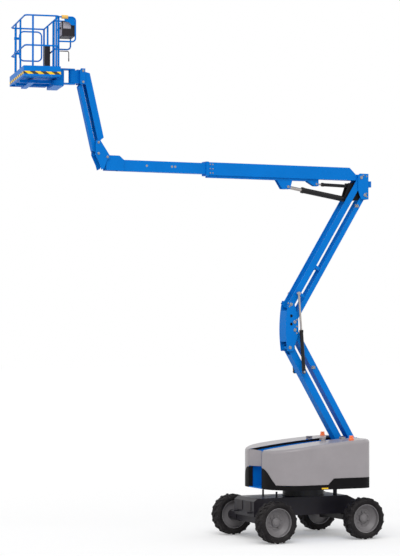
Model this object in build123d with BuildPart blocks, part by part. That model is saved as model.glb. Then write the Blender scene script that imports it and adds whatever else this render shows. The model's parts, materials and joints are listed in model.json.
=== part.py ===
"""Articulating boom lift with a folding riser, a telescopic boom, a jib and a work platform.

Millimetres. X points forward to the platform, Y to the machine's left, Z up.
The origin is on the ground, midway between the axles and the wheels.
"""

import os
from math import atan2, cos, degrees, hypot, radians, sin

from build123d import *

os.makedirs("parts", exist_ok=True)

# Clearances
running_fit = 0.05
seat_gap = 0.3
slide_gap = 0.3
open_pivot_gap = 6.0

# Wheels and track
wheelbase = 2030.0
width_over_tyres = 2290.0
tyre_width = 315.0
tyre_radius = 427.0
tread_base_radius = 404.0
tyre_shoulder_radius = 372.0
tyre_wall_radius = 335.0
tyre_tread_width = 262.0
lug_count = 18
lug_bar_width = 50.0
lug_bar_turn = 24.0
lug_bar_root = 380.0
lug_bar_inner = 4.0
lug_bar_outer = 150.0
lug_bar_shoulder = 122.0
lug_bar_drop = 40.0
bead_radius = 292.0
bead_width = 250.0
rim_wall = 14.0
rim_dish_depth = 64.0
rim_dish_run = 84.0
wheel_disc_offset = -40.0
wheel_disc_thickness = 12.0
wheel_hub_radius = 87.5
wheel_hub_reach = 46.0
spindle_radius = 45.0
axle_x = wheelbase / 2
wheel_y = (width_over_tyres - tyre_width) / 2
wheel_z = tyre_radius

# Chassis
frame_half_width = 440.0
frame_bottom = 489.0
frame_top = 860.0
frame_front = 1230.0
frame_rear = -1190.0
frame_plate = 14.0
frame_nose_height = 800.0
frame_tail_height = 745.0
axle_beam_half_depth = 85.0
front_beam_bottom = 342.0
drum_radius = 112.0
lug_length = 110.0
lug_width = 120.0
lug_thickness = 25.0
lug_hole_radius = 26.0
lug_y = 300.0
lug_z = 560.0
stop_post_radius = 20.0
stop_post_x = 636.0
stop_post_y = 300.0
stop_post_top = 975.0
guide_post_radius = 42.0
guide_post_x = -737.0
face_plate_thickness = 12.0
face_plate_width = 250.0
face_plate_height = 196.0
face_plate_y = 190.0
face_plate_z = 698.0

# Steered axle
kingpin_inset = 247.5
kingpin_y = wheel_y - kingpin_inset
yoke_reach = 100.0
axle_beam_half_length = kingpin_y - yoke_reach
kingpin_radius = 25.0
yoke_half_gap = 95.0
yoke_thickness = 30.0
yoke_half_width = 62.0
yoke_web_half_width = 40.0
steer_beam_top = 447.0
steer_beam_bottom = 337.0
knuckle_half_width = 66.0
steer_arm_reach = 160.0
steer_arm_inset = 40.0
steer_arm_half_width = 27.0
steer_arm_bottom = 455.0
steer_arm_thickness = 20.0
steer_rod_radius = 18.0
steer_barrel_radius = 36.0
steer_barrel_half_length = 230.0
steer_eye_radius = 23.0

# Turntable
slew_x = -150.0
slew_radius = 430.0
slew_bore_radius = 320.0
slew_ring_top = 1009.5
deck_bottom = 1010.0
deck_hub_top = 1040.0
deck_top = 1060.0
deck_hub_radius = 470.0
cowl_front = 970.0
cowl_rear = -1270.0
cowl_outer = 990.0
cowl_inner = 292.0
cowl_front_radius = 680.0
cowl_rear_radius = 260.0
cowl_front_top = 1830.0
cowl_middle_top = 1965.0
cowl_rear_top = 2045.0
cowl_edge_radius = 70.0
crown_overrun = 50.0
cowl_wall = 5.0
skirt_wall = 6.0
skirt_bottom = 1040.0
skirt_front_top = 1464.0
skirt_bend_x = 905.0
skirt_bend_height = 1250.0
skirt_slope_x = 855.0
skirt_middle_top = 1132.0
skirt_step_x = -190.0
skirt_step_run = 130.0
skirt_rear_top = 1256.0
cover_gap = 6.0
bulkhead_thickness = 6.0
beacon_radius = 48.0
beacon_height = 80.0
beacon_base_height = 14.0
beacon_left_x = -830.0
beacon_right_x = -1066.0
beacon_y = 820.0
hinge_places = (-920.0, -450.0)
hinge_height = 2048.0
hinge_pin_radius = 8.0
hinge_knuckle_radius = 14.0
hinge_knuckle_length = 80.0
hinge_tab_length = 30.0

# Riser pivots, each an X and a Z
lower_arm_foot = (-1209.0, 1500.0)
lower_arm_head = (238.0, 3924.0)
lower_link_shift = (-115.0, 363.0)
upper_arm_foot = (212.0, 4819.0)
upper_arm_head = (-1471.0, 7500.0)
upper_link_shift = (-84.0, -366.0)

# Riser arms
pivot_pin_radius = 32.0
arm_eye_radius = 56.0
arm_plate = 10.0
arm_web = 10.0
lower_arm_depth = 150.0
lower_arm_offset = 36.0
lower_arm_half_width = 100.0
lower_link_depth = 126.0
lower_link_offset = 20.0
lower_link_half_width = 100.0
riser_plate_inner = 112.0
riser_plate_outer = 132.0
mid_plate_inner = 134.0
mid_plate_outer = 148.0
mid_plate_lap = 60.0
mid_plate_over = 73.0
mid_plate_bulge = 92.0
mid_plate_back = 86.0
mid_plate_flare = 97.0
mid_web_setback = 28.0
mid_web_height = 420.0
upper_arm_depth = 136.0
upper_arm_offset = 17.0
upper_arm_inner = 104.0
upper_arm_outer = 128.0
upper_link_depth = 100.0
upper_link_offset = 7.0
upper_link_inner = 77.0
upper_link_outer = 97.0
cross_tube_radius = 30.0
cross_tube_drop = 160.0
upper_arm_cross_places = (2180.0, 2860.0)
upper_link_cross_places = (1900.0, 2850.0)
upright_plate_inner = 134.0
upright_plate_outer = 150.0
upright_front = -1395.0
upright_rear = -1645.0
upright_bottom = 7043.0
upright_top = 7585.0
upright_web = 14.0
tongue_inner = 64.0
tongue_outer = 72.0
tongue_top = 7384.0
tongue_front = -1110.0
stub_rear = -1765.0
stub_bottom = 7307.0
stub_top = 7434.0
stub_half_width = 60.0

# Riser cylinders
riser_cylinder_y = 202.0
riser_cylinder_base = (-61.0, 3416.0)
riser_cylinder_eye = (59.0, 5043.0)
riser_barrel_length = 863.0
riser_barrel_radius = 38.0
riser_rod_radius = 22.0
riser_rod_engagement = 80.0
riser_eye_radius = 38.0
riser_eye_half_width = 18.0

# Boom
boom_pivot = upper_arm_head
boom_half_width = 95.0
boom_bottom = 7440.0
boom_top = 7704.0
boom_collar_front = 2140.0
boom_collar_length = 60.0
boom_collar_lip = 12.0
boom_wall = 8.0
boom_rear_top_x = -1220.0
boom_chamfer_foot = (-1370.0, 7565.0)
boom_cavity_rear = -1100.0
boom_eye_radius = 60.0
tray_rear = -230.0
tray_front = 2080.0
tray_half_width = 62.0
tray_bottom = 7394.0
lift_pin = (230.0, 7261.0)
lift_base = (-1165.0, 7039.0)
lift_bracket_inner = 42.0
lift_bracket_outer = 58.0
lift_bracket_front = 288.0
lift_bracket_toe = 136.0
lift_bracket_heel = 47.0
lift_bracket_rear = 111.0
lift_bracket_drop = 49.0
lift_barrel_radius = 58.0
lift_barrel_length = 1056.0
lift_rod_radius = 36.0
lift_rod_engagement = 720.0
lift_eye_radius = 52.0
level_pin = (-445.0, 7338.0)
level_base = (-1225.0, 7318.0)
level_bracket_inner = 36.0
level_bracket_outer = 48.0
level_bracket_front = 209.0
level_bracket_rise = 43.0
level_bracket_toe = 45.0
level_bracket_rear = 53.0
level_bracket_drop = 44.0
level_barrel_radius = 35.0
level_barrel_length = 625.0
level_rod_radius = 18.0
level_rod_engagement = 430.0
level_eye_radius = 32.0
cylinder_pin_radius = 25.0

# Boom extension
extension_half_width = 80.0
extension_bottom = 7463.0
extension_top = 7685.0
extension_tail = 1050.0
extension_pad_length = 120.0
extension_wall = 7.0
extension_tube_front = 4060.0
tip_rear = 3956.0
tip_rear_top = 4051.0
tip_front_top = 4272.0
tip_front = 4334.0
tip_rise = 80.0
tip_top = extension_top + tip_rise
tip_bottom = 7467.0
tip_cheek_inner = 76.0
tip_cheek_outer = 94.0
tip_deck_thickness = 14.0
level_pivot = (4323.0, 7728.0)

# Jib
jib_lower_foot = (4515.0, 7790.0)
jib_upper_foot = (4515.0, 8010.0)
jib_lower_head = (4848.0, 9192.0)
jib_upper_head = (4848.0, 9412.0)
jib_pin_radius = 24.0
jib_eye_radius = 44.0
jib_plate_inner = 105.0
jib_plate_outer = 120.0
jib_lower_half_width = 60.0
jib_lower_depth = 84.0
jib_upper_half_width = 80.0
jib_upper_depth = 138.0
jib_upper_offset = 10.0
jib_plate = 8.0
jib_web_start = 70.0

# Platform rotator
rotator_x = 5045.0
rotator_radius = 62.0
rotator_bottom = 9167.0
rotator_top = 9423.0
rotator_gap = 0.5
rotator_plate = 26.0
rotator_plate_radius = 72.0
head_nose_rear = 4890.0
head_nose_half_width = 58.0

# Platform, measured from the rotator axis along its own turned directions
platform_turn = -11.6
platform_rear = 375.0
platform_depth = 720.0
platform_half_width = 915.0
platform_floor_top = 9215.0
platform_floor_thickness = 40.0
platform_floor_sheet = 5.0
toe_board_top = 9373.0
toe_board_thickness = 4.0
rail_height = 1135.0
rail_top = platform_floor_top + rail_height
rail_middle_height = 557.0
rail_middle = platform_floor_top + rail_middle_height
rail_radius = 16.0
post_radius = 19.0
rail_inset = 30.0
rail_bend = 70.0
gate_post_setback = 80.0
gate_gap = 30.0
gate_hinge_reach = 85.0
gate_sill_drop = 72.0
gate_head_drop = 60.0
gate_bottom = rail_middle - gate_sill_drop
gate_top = rail_top - gate_head_drop
gate_bend = 90.0
gate_tube_radius = 15.0
gate_sleeve_height = 50.0
gate_sleeve_wall = 8.0
control_box_depth = 250.0
control_box_width = 420.0
control_box_height = 290.0
control_box_setback = 60.0
control_box_drop = 365.0
control_box_bottom = rail_top - control_box_drop
control_box_y = 560.0
strap_thickness = 6.0
strap_width = 40.0
hoop_radius = 15.0
hoop_reach = 330.0
hoop_bend = 70.0
near_hoop_y = 830.0
far_hoop_y = 290.0
hoop_top_drop = 5.0
hoop_top = rail_top - hoop_top_drop
near_hoop_height = 475.0
far_hoop_height = 555.0
near_hoop_bottom = hoop_top - near_hoop_height
far_hoop_bottom = hoop_top - far_hoop_height
hook_radius = 7.0
hook_rise = 465.0
hook_height = platform_floor_top + hook_rise
hook_reach = 200.0
hook_drop = 190.0
rear_case_depth = 110.0
rear_case_width = 170.0
rear_case_height = 685.0
rear_case_top = platform_floor_top + rear_case_height
rear_case_y = -60.0
sleeve_radius = 36.0
sleeve_length = 120.0
bearer_depth = 60.0
bearer_y = 250.0
rear_beam_start = 225.0
rear_beam_depth = 205.0
rear_beam_half_width = 400.0
rear_beam_height = 112.0
cross_bearer_x = 840.0
cross_bearer_width = 110.0
cross_bearer_right = -720.0
cross_bearer_left = 330.0


def side(y):
    """A vertical plane along the machine at a given Y; extruding from it runs to smaller Y."""
    return Plane.XZ.offset(-y)


def shifted(point, shift):
    """A side-view point moved by a shift."""
    return (point[0] + shift[0], point[1] + shift[1])


def middle(start, end):
    """Halfway between two side-view points."""
    return ((start[0] + end[0]) / 2, (start[1] + end[1]) / 2)


def span(start, end):
    """Distance between two side-view points."""
    return hypot(end[0] - start[0], end[1] - start[1])


def slope(start, end):
    """Angle of a side-view line above the forward direction, in degrees."""
    return degrees(atan2(end[1] - start[1], end[0] - start[0]))


def along(start, end, distance, offset=0.0):
    """A side-view point at a distance along a line and an offset to its left."""
    length = span(start, end)
    ux = (end[0] - start[0]) / length
    uz = (end[1] - start[1]) / length
    return (start[0] + ux * distance - uz * offset, start[1] + uz * distance + ux * offset)


def crown_points(drop):
    """Side-view points of the cowls' top line, from front to rear, lowered by a drop."""
    return (
        (cowl_front + crown_overrun, cowl_front_top - drop - 12),
        (slew_x, cowl_middle_top - drop),
        (cowl_rear - crown_overrun, cowl_rear_top - drop),
    )


lower_link_foot = shifted(lower_arm_foot, lower_link_shift)
lower_link_head = shifted(lower_arm_head, lower_link_shift)
upper_link_foot = shifted(upper_arm_foot, upper_link_shift)
upper_link_head = shifted(upper_arm_head, upper_link_shift)


# Chassis frame: a plated box, open below, with sloping ends
with BuildPart() as chassis_frame:
    with BuildSketch(side(frame_half_width)):
        with BuildLine():
            Polyline(
                (frame_rear, frame_bottom + 60),
                (frame_rear, frame_tail_height),
                (frame_rear + 240, frame_top),
                (frame_front - 90, frame_top),
                (frame_front, frame_nose_height),
                (frame_front, frame_bottom),
                (frame_rear + 90, frame_bottom),
                close=True,
            )
        make_face()
    extrude(amount=2 * frame_half_width)
    with BuildSketch(Plane.XY.offset(frame_bottom)):
        Rectangle(2 * (axle_x - 170), 2 * (frame_half_width - frame_plate))
    extrude(amount=frame_top - frame_plate - frame_bottom, mode=Mode.SUBTRACT)
    with BuildSketch(Plane.XY.offset(frame_top)):
        with Locations((stop_post_x, stop_post_y), (stop_post_x, -stop_post_y)):
            Circle(stop_post_radius)
        with Locations((guide_post_x, stop_post_y), (guide_post_x, -stop_post_y)):
            Circle(guide_post_radius)
    extrude(amount=stop_post_top - frame_top)
chassis_frame.part.label = "chassis_frame"
export_step(chassis_frame.part, "parts/chassis_frame.step")

# Front axle: a box beam under the frame with a drive drum at each end
drum_end = wheel_y + wheel_disc_offset - running_fit
with BuildPart() as front_axle:
    with BuildSketch(side(axle_beam_half_length)):
        with Locations((axle_x, (front_beam_bottom + frame_bottom) / 2)):
            Rectangle(2 * axle_beam_half_depth, frame_bottom - front_beam_bottom)
    extrude(amount=2 * axle_beam_half_length)
    with BuildSketch(side(drum_end)):
        with Locations((axle_x, wheel_z)):
            Circle(drum_radius)
    extrude(amount=drum_end - axle_beam_half_length + 60)
    with BuildSketch(side(drum_end + wheel_disc_thickness + wheel_hub_reach)):
        with Locations((axle_x, wheel_z)):
            Circle(spindle_radius)
    extrude(amount=wheel_disc_thickness + wheel_hub_reach)
    mirror(about=Plane.XZ)
front_axle.part.label = "front_axle"
export_step(front_axle.part, "parts/front_axle.step")

# Rear axle: a low beam with a forked yoke at each end
with BuildPart() as rear_axle:
    with BuildSketch(side(axle_beam_half_length)):
        with Locations((-axle_x, (steer_beam_top + steer_beam_bottom) / 2)):
            Rectangle(2 * axle_beam_half_depth, steer_beam_top - steer_beam_bottom)
    extrude(amount=axle_beam_half_length)
    with BuildSketch(side(axle_beam_half_length)):
        with Locations((-axle_x, wheel_z)):
            Rectangle(2 * yoke_web_half_width, 2 * (yoke_half_gap + yoke_thickness))
    extrude(amount=yoke_web_half_width)
    for bottom in (wheel_z - yoke_half_gap - yoke_thickness, wheel_z + yoke_half_gap):
        with BuildSketch(Plane.XY.offset(bottom)):
            with Locations((-axle_x, kingpin_y)):
                Circle(yoke_half_width)
            with Locations((-axle_x, (kingpin_y + axle_beam_half_length - 40) / 2)):
                Rectangle(2 * yoke_half_width, kingpin_y - axle_beam_half_length + 40)
            with Locations((-axle_x, kingpin_y)):
                Circle(kingpin_radius + running_fit, mode=Mode.SUBTRACT)
        extrude(amount=yoke_thickness)
    mirror(about=Plane.XZ)
    with BuildSketch(Plane.XY.offset(steer_beam_top)):
        with Locations((-axle_x, 0)):
            Rectangle(2 * axle_beam_half_depth, 400)
    extrude(amount=frame_bottom - steer_beam_top)
rear_axle.part.label = "rear_axle"
export_step(rear_axle.part, "parts/rear_axle.step")

# Steering cylinder on the rear axle and the rod that runs through it
steer_rod_x = -axle_x - steer_arm_reach
steer_eye_y = kingpin_y - steer_arm_inset
with BuildPart() as steer_cylinder:
    with BuildSketch(side(steer_barrel_half_length)):
        with Locations((steer_rod_x, wheel_z)):
            Circle(steer_barrel_radius)
        with Locations(((steer_rod_x - axle_x - axle_beam_half_depth) / 2, wheel_z - 20)):
            Rectangle(-axle_x - axle_beam_half_depth - seat_gap - steer_rod_x, 40)
    extrude(amount=2 * steer_barrel_half_length)
    with BuildSketch(side(steer_barrel_half_length)):
        with Locations((steer_rod_x, wheel_z)):
            Circle(steer_rod_radius + running_fit)
    extrude(amount=2 * steer_barrel_half_length, mode=Mode.SUBTRACT)
steer_cylinder.part.label = "steer_cylinder"
export_step(steer_cylinder.part, "parts/steer_cylinder.step")

with BuildPart() as steer_rod:
    with BuildSketch(side(steer_eye_y)):
        with Locations((steer_rod_x, wheel_z)):
            Circle(steer_rod_radius)
    extrude(amount=2 * steer_eye_y)
    with BuildSketch(Plane.XY.offset(wheel_z - steer_eye_radius)):
        with Locations((steer_rod_x, steer_eye_y), (steer_rod_x, -steer_eye_y)):
            Circle(steer_eye_radius)
    extrude(amount=2 * steer_eye_radius - 1)
steer_rod.part.label = "steer_rod"
export_step(steer_rod.part, "parts/steer_rod.step")


def make_knuckle():
    """Left steering knuckle: kingpin block, wheel spindle and steering arm."""
    with BuildPart() as knuckle:
        with BuildSketch(Plane.XY.offset(wheel_z - yoke_half_gap + seat_gap)):
            with Locations((-axle_x, kingpin_y)):
                Circle(knuckle_half_width)
        extrude(amount=2 * (yoke_half_gap - seat_gap))
        with BuildSketch(Plane.XY.offset(wheel_z - yoke_half_gap - yoke_thickness)):
            with Locations((-axle_x, kingpin_y)):
                Circle(kingpin_radius)
        extrude(amount=2 * (yoke_half_gap + yoke_thickness))
        with BuildSketch(side(drum_end)):
            with Locations((-axle_x, wheel_z)):
                Circle(yoke_half_gap - open_pivot_gap)
        extrude(amount=drum_end - kingpin_y)
        with BuildSketch(side(drum_end + wheel_disc_thickness + wheel_hub_reach)):
            with Locations((-axle_x, wheel_z)):
                Circle(spindle_radius)
        extrude(amount=wheel_disc_thickness + wheel_hub_reach)
        with BuildSketch(Plane.XY.offset(steer_arm_bottom)):
            arm_turn = degrees(atan2(-steer_arm_inset, -steer_arm_reach))
            arm_length = hypot(steer_arm_reach, steer_arm_inset)
            with Locations((-axle_x - steer_arm_reach / 2, kingpin_y - steer_arm_inset / 2)):
                SlotCenterToCenter(arm_length, 2 * steer_arm_half_width, rotation=arm_turn)
        extrude(amount=steer_arm_thickness)
    return knuckle.part


knuckle_left = make_knuckle()
knuckle_left.label = "knuckle_left"
export_step(knuckle_left, "parts/knuckle_left.step")
with BuildPart() as knuckle_right:
    mirror(knuckle_left, about=Plane.XZ)
knuckle_right.part.label = "knuckle_right"
export_step(knuckle_right.part, "parts/knuckle_right.step")


def make_lug(outward):
    """One slanted tread lug of a tyre that is centred on the origin, on one shoulder."""
    lug_top = (tyre_radius**2 - lug_bar_width**2) ** 0.5
    with BuildPart() as lug:
        with BuildSketch(Plane.YZ.offset(-lug_bar_width / 2)):
            with BuildLine():
                Polyline(
                    (outward * lug_bar_inner, lug_bar_root),
                    (outward * lug_bar_inner, lug_top),
                    (outward * lug_bar_shoulder, lug_top),
                    (outward * lug_bar_outer, lug_top - lug_bar_drop),
                    (outward * lug_bar_outer, lug_bar_root - lug_bar_drop),
                    (outward * lug_bar_shoulder, lug_bar_root - lug_bar_drop),
                    close=True,
                )
            make_face()
        extrude(amount=lug_bar_width)
    return lug.part.rotate(Axis((0, outward * lug_bar_outer / 2, 0), (0, 0, 1)), outward * lug_bar_turn)


def make_tyre():
    """Tyre centred on the origin: a carcass turned about the axle line with two rows of lugs."""
    axle = Axis((0, 0, 0), (0, 1, 0))
    pitch = 360 / lug_count
    with BuildPart() as tyre:
        with BuildSketch(Plane.XY):
            with BuildLine():
                Polyline(
                    (bead_radius, bead_width / 2),
                    (tyre_wall_radius, tyre_width / 2),
                    (tyre_shoulder_radius, tyre_width / 2),
                    (tread_base_radius, tyre_tread_width / 2),
                    (tread_base_radius, -tyre_tread_width / 2),
                    (tyre_shoulder_radius, -tyre_width / 2),
                    (tyre_wall_radius, -tyre_width / 2),
                    (bead_radius, -bead_width / 2),
                    close=True,
                )
            make_face()
        revolve(axis=axle)
        for outward, first in ((1, 0), (-1, pitch / 2)):
            lug = make_lug(outward)
            for place in range(lug_count):
                add(lug.rotate(axle, first + place * pitch))
    return tyre.part


def make_rim(x, y, outward):
    """Rim of one wheel: barrel, dished disc and hub, with the disc turned outward."""
    rim_radius = bead_radius - seat_gap
    disc_inner = outward * wheel_disc_offset
    disc_outer = outward * (wheel_disc_offset + wheel_disc_thickness)
    hub_end = outward * (wheel_disc_offset + wheel_disc_thickness + wheel_hub_reach)
    with BuildPart() as rim:
        with BuildSketch(Plane((x, y, wheel_z))):
            with Locations((rim_radius - rim_wall / 2, 0)):
                Rectangle(rim_wall, bead_width)
            with Locations((rim_radius / 2, (disc_inner + disc_outer) / 2)):
                Rectangle(rim_radius, wheel_disc_thickness)
            with BuildLine():
                Polyline(
                    (rim_radius - rim_wall, disc_outer),
                    (rim_radius - rim_wall, disc_outer + outward * rim_dish_depth),
                    (rim_radius - rim_wall - rim_dish_run, disc_outer),
                    close=True,
                )
            make_face()
            with Locations((wheel_hub_radius / 2, (disc_inner + hub_end) / 2)):
                Rectangle(wheel_hub_radius, abs(hub_end - disc_inner))
            with Locations(((spindle_radius + running_fit) / 2, (disc_inner + hub_end) / 2)):
                Rectangle(spindle_radius + running_fit, abs(hub_end - disc_inner), mode=Mode.SUBTRACT)
        revolve(axis=Axis((x, y, wheel_z), (0, 1, 0)))
    return rim.part


# Four wheels, each a tyre and a rim
tyre_form = make_tyre()
for end, x in (("front", axle_x), ("rear", -axle_x)):
    for flank, outward in (("left", 1), ("right", -1)):
        tyre = Pos(x, outward * wheel_y, wheel_z) * tyre_form
        tyre.label = f"tyre_{end}_{flank}"
        export_step(tyre, f"parts/tyre_{end}_{flank}.step")
        rim = make_rim(x, outward * wheel_y, outward)
        rim.label = f"rim_{end}_{flank}"
        export_step(rim, f"parts/rim_{end}_{flank}.step")

# Tie-down lugs on the frame's ends
with BuildPart() as tie_down_lugs:
    with BuildSketch(Plane.XY.offset(lug_z)):
        for root, outward in ((frame_front, 1), (frame_rear, -1)):
            with Locations((root + outward * lug_length / 2, lug_y), (root + outward * lug_length / 2, -lug_y)):
                Rectangle(lug_length, lug_width)
            hole_x = root + outward * (lug_length - lug_width / 2)
            with Locations((hole_x, lug_y), (hole_x, -lug_y)):
                Circle(lug_hole_radius, mode=Mode.SUBTRACT)
    extrude(amount=lug_thickness)
tie_down_lugs.part.label = "tie_down_lugs"
export_step(tie_down_lugs.part, "parts/tie_down_lugs.step")

# Blank cover plates on the frame's front face
with BuildPart() as face_plates:
    with BuildSketch(Plane.YZ.offset(frame_front + seat_gap)):
        with Locations((face_plate_y, face_plate_z), (-face_plate_y, face_plate_z)):
            RectangleRounded(face_plate_width, face_plate_height, 30)
    extrude(amount=face_plate_thickness)
face_plates.part.label = "face_plates"
export_step(face_plates.part, "parts/face_plates.step")

# Slewing ring between frame and turntable
with BuildPart() as slew_ring:
    with BuildSketch(Plane.XY.offset(frame_top)):
        with Locations((slew_x, 0)):
            Circle(slew_radius)
            Circle(slew_bore_radius, mode=Mode.SUBTRACT)
    extrude(amount=slew_ring_top - frame_top)
slew_ring.part.label = "slew_ring"
export_step(slew_ring.part, "parts/slew_ring.step")

# Turntable deck: hub, floor plate, bulkheads and the riser's pivot plates
with BuildPart() as turntable_deck:
    with BuildSketch(Plane.XY.offset(deck_bottom)):
        with Locations((slew_x, 0)):
            Circle(deck_hub_radius)
            Circle(slew_bore_radius, mode=Mode.SUBTRACT)
    extrude(amount=deck_hub_top - deck_bottom)
    deck_edge = skirt_wall + seat_gap
    with BuildSketch(Plane.XY.offset(deck_hub_top)) as deck_plan:
        with Locations(((cowl_front + cowl_rear) / 2, 0)):
            Rectangle(cowl_front - cowl_rear - 2 * deck_edge, 2 * (cowl_outer - deck_edge))
        fillet(deck_plan.vertices().sort_by(Axis.X)[-2:], cowl_front_radius - deck_edge)
        fillet(deck_plan.vertices().sort_by(Axis.X)[:2], cowl_rear_radius - deck_edge)
        with Locations((slew_x, 0)):
            Circle(slew_bore_radius, mode=Mode.SUBTRACT)
    extrude(amount=deck_top - deck_hub_top)
    with BuildSketch(side(riser_plate_outer)):
        with BuildLine():
            Polyline(
                (lower_arm_foot[0] + 640, deck_top),
                (lower_arm_foot[0] + 95, lower_arm_foot[1] + 60),
                (lower_link_foot[0] + 110, lower_link_foot[1] + 70),
                (lower_link_foot[0] - 75, lower_link_foot[1] + 70),
                (lower_link_foot[0] - 75, 1400),
                (cowl_rear + 10, deck_top),
                close=True,
            )
        make_face()
    extrude(amount=riser_plate_outer - riser_plate_inner)
    with BuildSketch(side(cowl_inner - seat_gap)):
        with BuildLine():
            crown = Spline(*crown_points(0))
            Polyline(
                crown @ 1,
                (cowl_rear - crown_overrun, deck_top),
                (cowl_front + crown_overrun, deck_top),
                crown @ 0,
            )
        make_face()
        with Locations(((cowl_front + cowl_rear) / 2, deck_top)):
            Rectangle(cowl_front - cowl_rear, 3 * cowl_rear_top, mode=Mode.INTERSECT)
    extrude(amount=bulkhead_thickness)
    for pivot in (lower_arm_foot, lower_link_foot):
        with BuildSketch(side(riser_plate_outer + 8)):
            with Locations(pivot):
                Circle(pivot_pin_radius)
        extrude(amount=riser_plate_outer + 8)
    for place in hinge_places:
        for tab_x in (place - hinge_knuckle_length / 2 - 1, place + hinge_knuckle_length / 2 + 1 + hinge_tab_length):
            with BuildSketch(Plane.YZ.offset(tab_x)):
                with BuildLine():
                    Polyline(
                        (cowl_inner - seat_gap - bulkhead_thickness, hinge_height - 100),
                        (cowl_inner - seat_gap, hinge_height - 100),
                        (cowl_inner - seat_gap, hinge_height - 12),
                        (cowl_inner + 10, hinge_height - 12),
                        (cowl_inner + 10, hinge_height + 12),
                        (cowl_inner - seat_gap - bulkhead_thickness, hinge_height + 12),
                        close=True,
                    )
                make_face()
            extrude(amount=-hinge_tab_length)
        with BuildSketch(Plane.YZ.offset(place - hinge_knuckle_length / 2 - 2)):
            with Locations((cowl_inner, hinge_height)):
                Circle(hinge_pin_radius)
        extrude(amount=hinge_knuckle_length + 4)
    mirror(about=Plane.XZ)
turntable_deck.part.label = "turntable_deck"
export_step(turntable_deck.part, "parts/turntable_deck.step")

# Counterweight, battery and power pack, plain blocks behind the covers
with BuildPart() as counterweight:
    with BuildSketch(Plane.XY.offset(deck_top)):
        with Locations((-1000, 600), (-1000, -600)):
            Rectangle(380, 540)
    extrude(amount=420)
counterweight.part.label = "counterweight"
export_step(counterweight.part, "parts/counterweight.step")

with BuildPart() as battery_box:
    with BuildSketch(Plane.XY.offset(deck_top)):
        with Locations((-150, 620)):
            Rectangle(900, 560)
    extrude(amount=460)
battery_box.part.label = "battery_box"
export_step(battery_box.part, "parts/battery_box.step")

with BuildPart() as power_pack:
    with BuildSketch(Plane.XY.offset(deck_top)):
        with Locations((-150, -620)):
            Rectangle(1000, 560)
    extrude(amount=560)
power_pack.part.label = "power_pack"
export_step(power_pack.part, "parts/power_pack.step")


def cowl_block(inset, inner):
    """Left cowl's outer form, drawn in by an inset, from an inner Y outward."""
    with BuildPart() as block:
        with BuildSketch(Plane.XY.offset(skirt_bottom - inset)) as plan:
            with Locations(((cowl_front + cowl_rear) / 2, (inner + cowl_outer - inset) / 2)):
                Rectangle(cowl_front - cowl_rear - 2 * inset, cowl_outer - inset - inner)
            corners = plan.vertices().group_by(Axis.Y)[-1].sort_by(Axis.X)
            fillet(corners[-1], cowl_front_radius - inset)
            rear_corner = plan.vertices().group_by(Axis.X)[0].sort_by(Axis.Y)[-1]
            fillet(rear_corner, cowl_rear_radius - inset)
        extrude(amount=cowl_rear_top - skirt_bottom + 100)
        with BuildSketch(side(cowl_outer + 50)):
            with BuildLine():
                crown = Spline(*crown_points(inset))
                Polyline(
                    crown @ 1,
                    (cowl_rear - crown_overrun, cowl_rear_top + 400),
                    (cowl_front + crown_overrun, cowl_rear_top + 400),
                    crown @ 0,
                )
            make_face()
        extrude(amount=cowl_outer + 100 - inner + 100, mode=Mode.SUBTRACT)
        outer_rim = block.faces().sort_by(Axis.Z)[-1].edges().filter_by(lambda e: e.center().Y > inner + 1)
        fillet(outer_rim, cowl_edge_radius - inset)
    return block.part


def skirt_zone(rise):
    """Side-view region below the line between skirt and cover, raised by a gap."""
    with BuildPart() as zone:
        with BuildSketch(side(cowl_outer + 60)):
            with BuildLine():
                Polyline(
                    (cowl_front + 60, skirt_bottom - 200),
                    (cowl_front + 60, skirt_front_top + 60 + rise),
                    (cowl_front, skirt_front_top + rise),
                    (skirt_bend_x, skirt_bend_height + rise),
                    (skirt_slope_x, skirt_middle_top + rise),
                    (skirt_step_x, skirt_middle_top + rise),
                    (skirt_step_x - skirt_step_run, skirt_rear_top + rise),
                    (cowl_rear - 60, skirt_rear_top + rise),
                    (cowl_rear - 60, skirt_bottom - 200),
                    close=True,
                )
            make_face()
        extrude(amount=cowl_outer + 60)
    return zone.part


# Cowls: a lifting cover above and a fixed skirt below on each flank
cowl_form = cowl_block(0, cowl_inner)
with BuildPart() as cover_left:
    add(cowl_form)
    add(cowl_block(cowl_wall, cowl_inner - 40), mode=Mode.SUBTRACT)
    add(skirt_zone(cover_gap), mode=Mode.SUBTRACT)
    for place in hinge_places:
        with BuildSketch(Plane.YZ.offset(place - hinge_knuckle_length / 2)):
            with Locations((cowl_inner, hinge_height)):
                Circle(hinge_knuckle_radius)
            with Locations((cowl_inner + 20, hinge_height - 35)):
                Rectangle(26, 74)
            with Locations((cowl_inner, hinge_height)):
                Circle(hinge_pin_radius + running_fit, mode=Mode.SUBTRACT)
        extrude(amount=hinge_knuckle_length)
cover_left.part.label = "cover_left"
export_step(cover_left.part, "parts/cover_left.step")
with BuildPart() as cover_right:
    mirror(cover_left.part, about=Plane.XZ)
cover_right.part.label = "cover_right"
export_step(cover_right.part, "parts/cover_right.step")

with BuildPart() as skirts:
    add(cowl_form)
    add(cowl_block(skirt_wall, cowl_inner - 40), mode=Mode.SUBTRACT)
    add(skirt_zone(0), mode=Mode.INTERSECT)
    mirror(about=Plane.XZ)
skirts.part.label = "skirts"
export_step(skirts.part, "parts/skirts.step")

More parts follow.
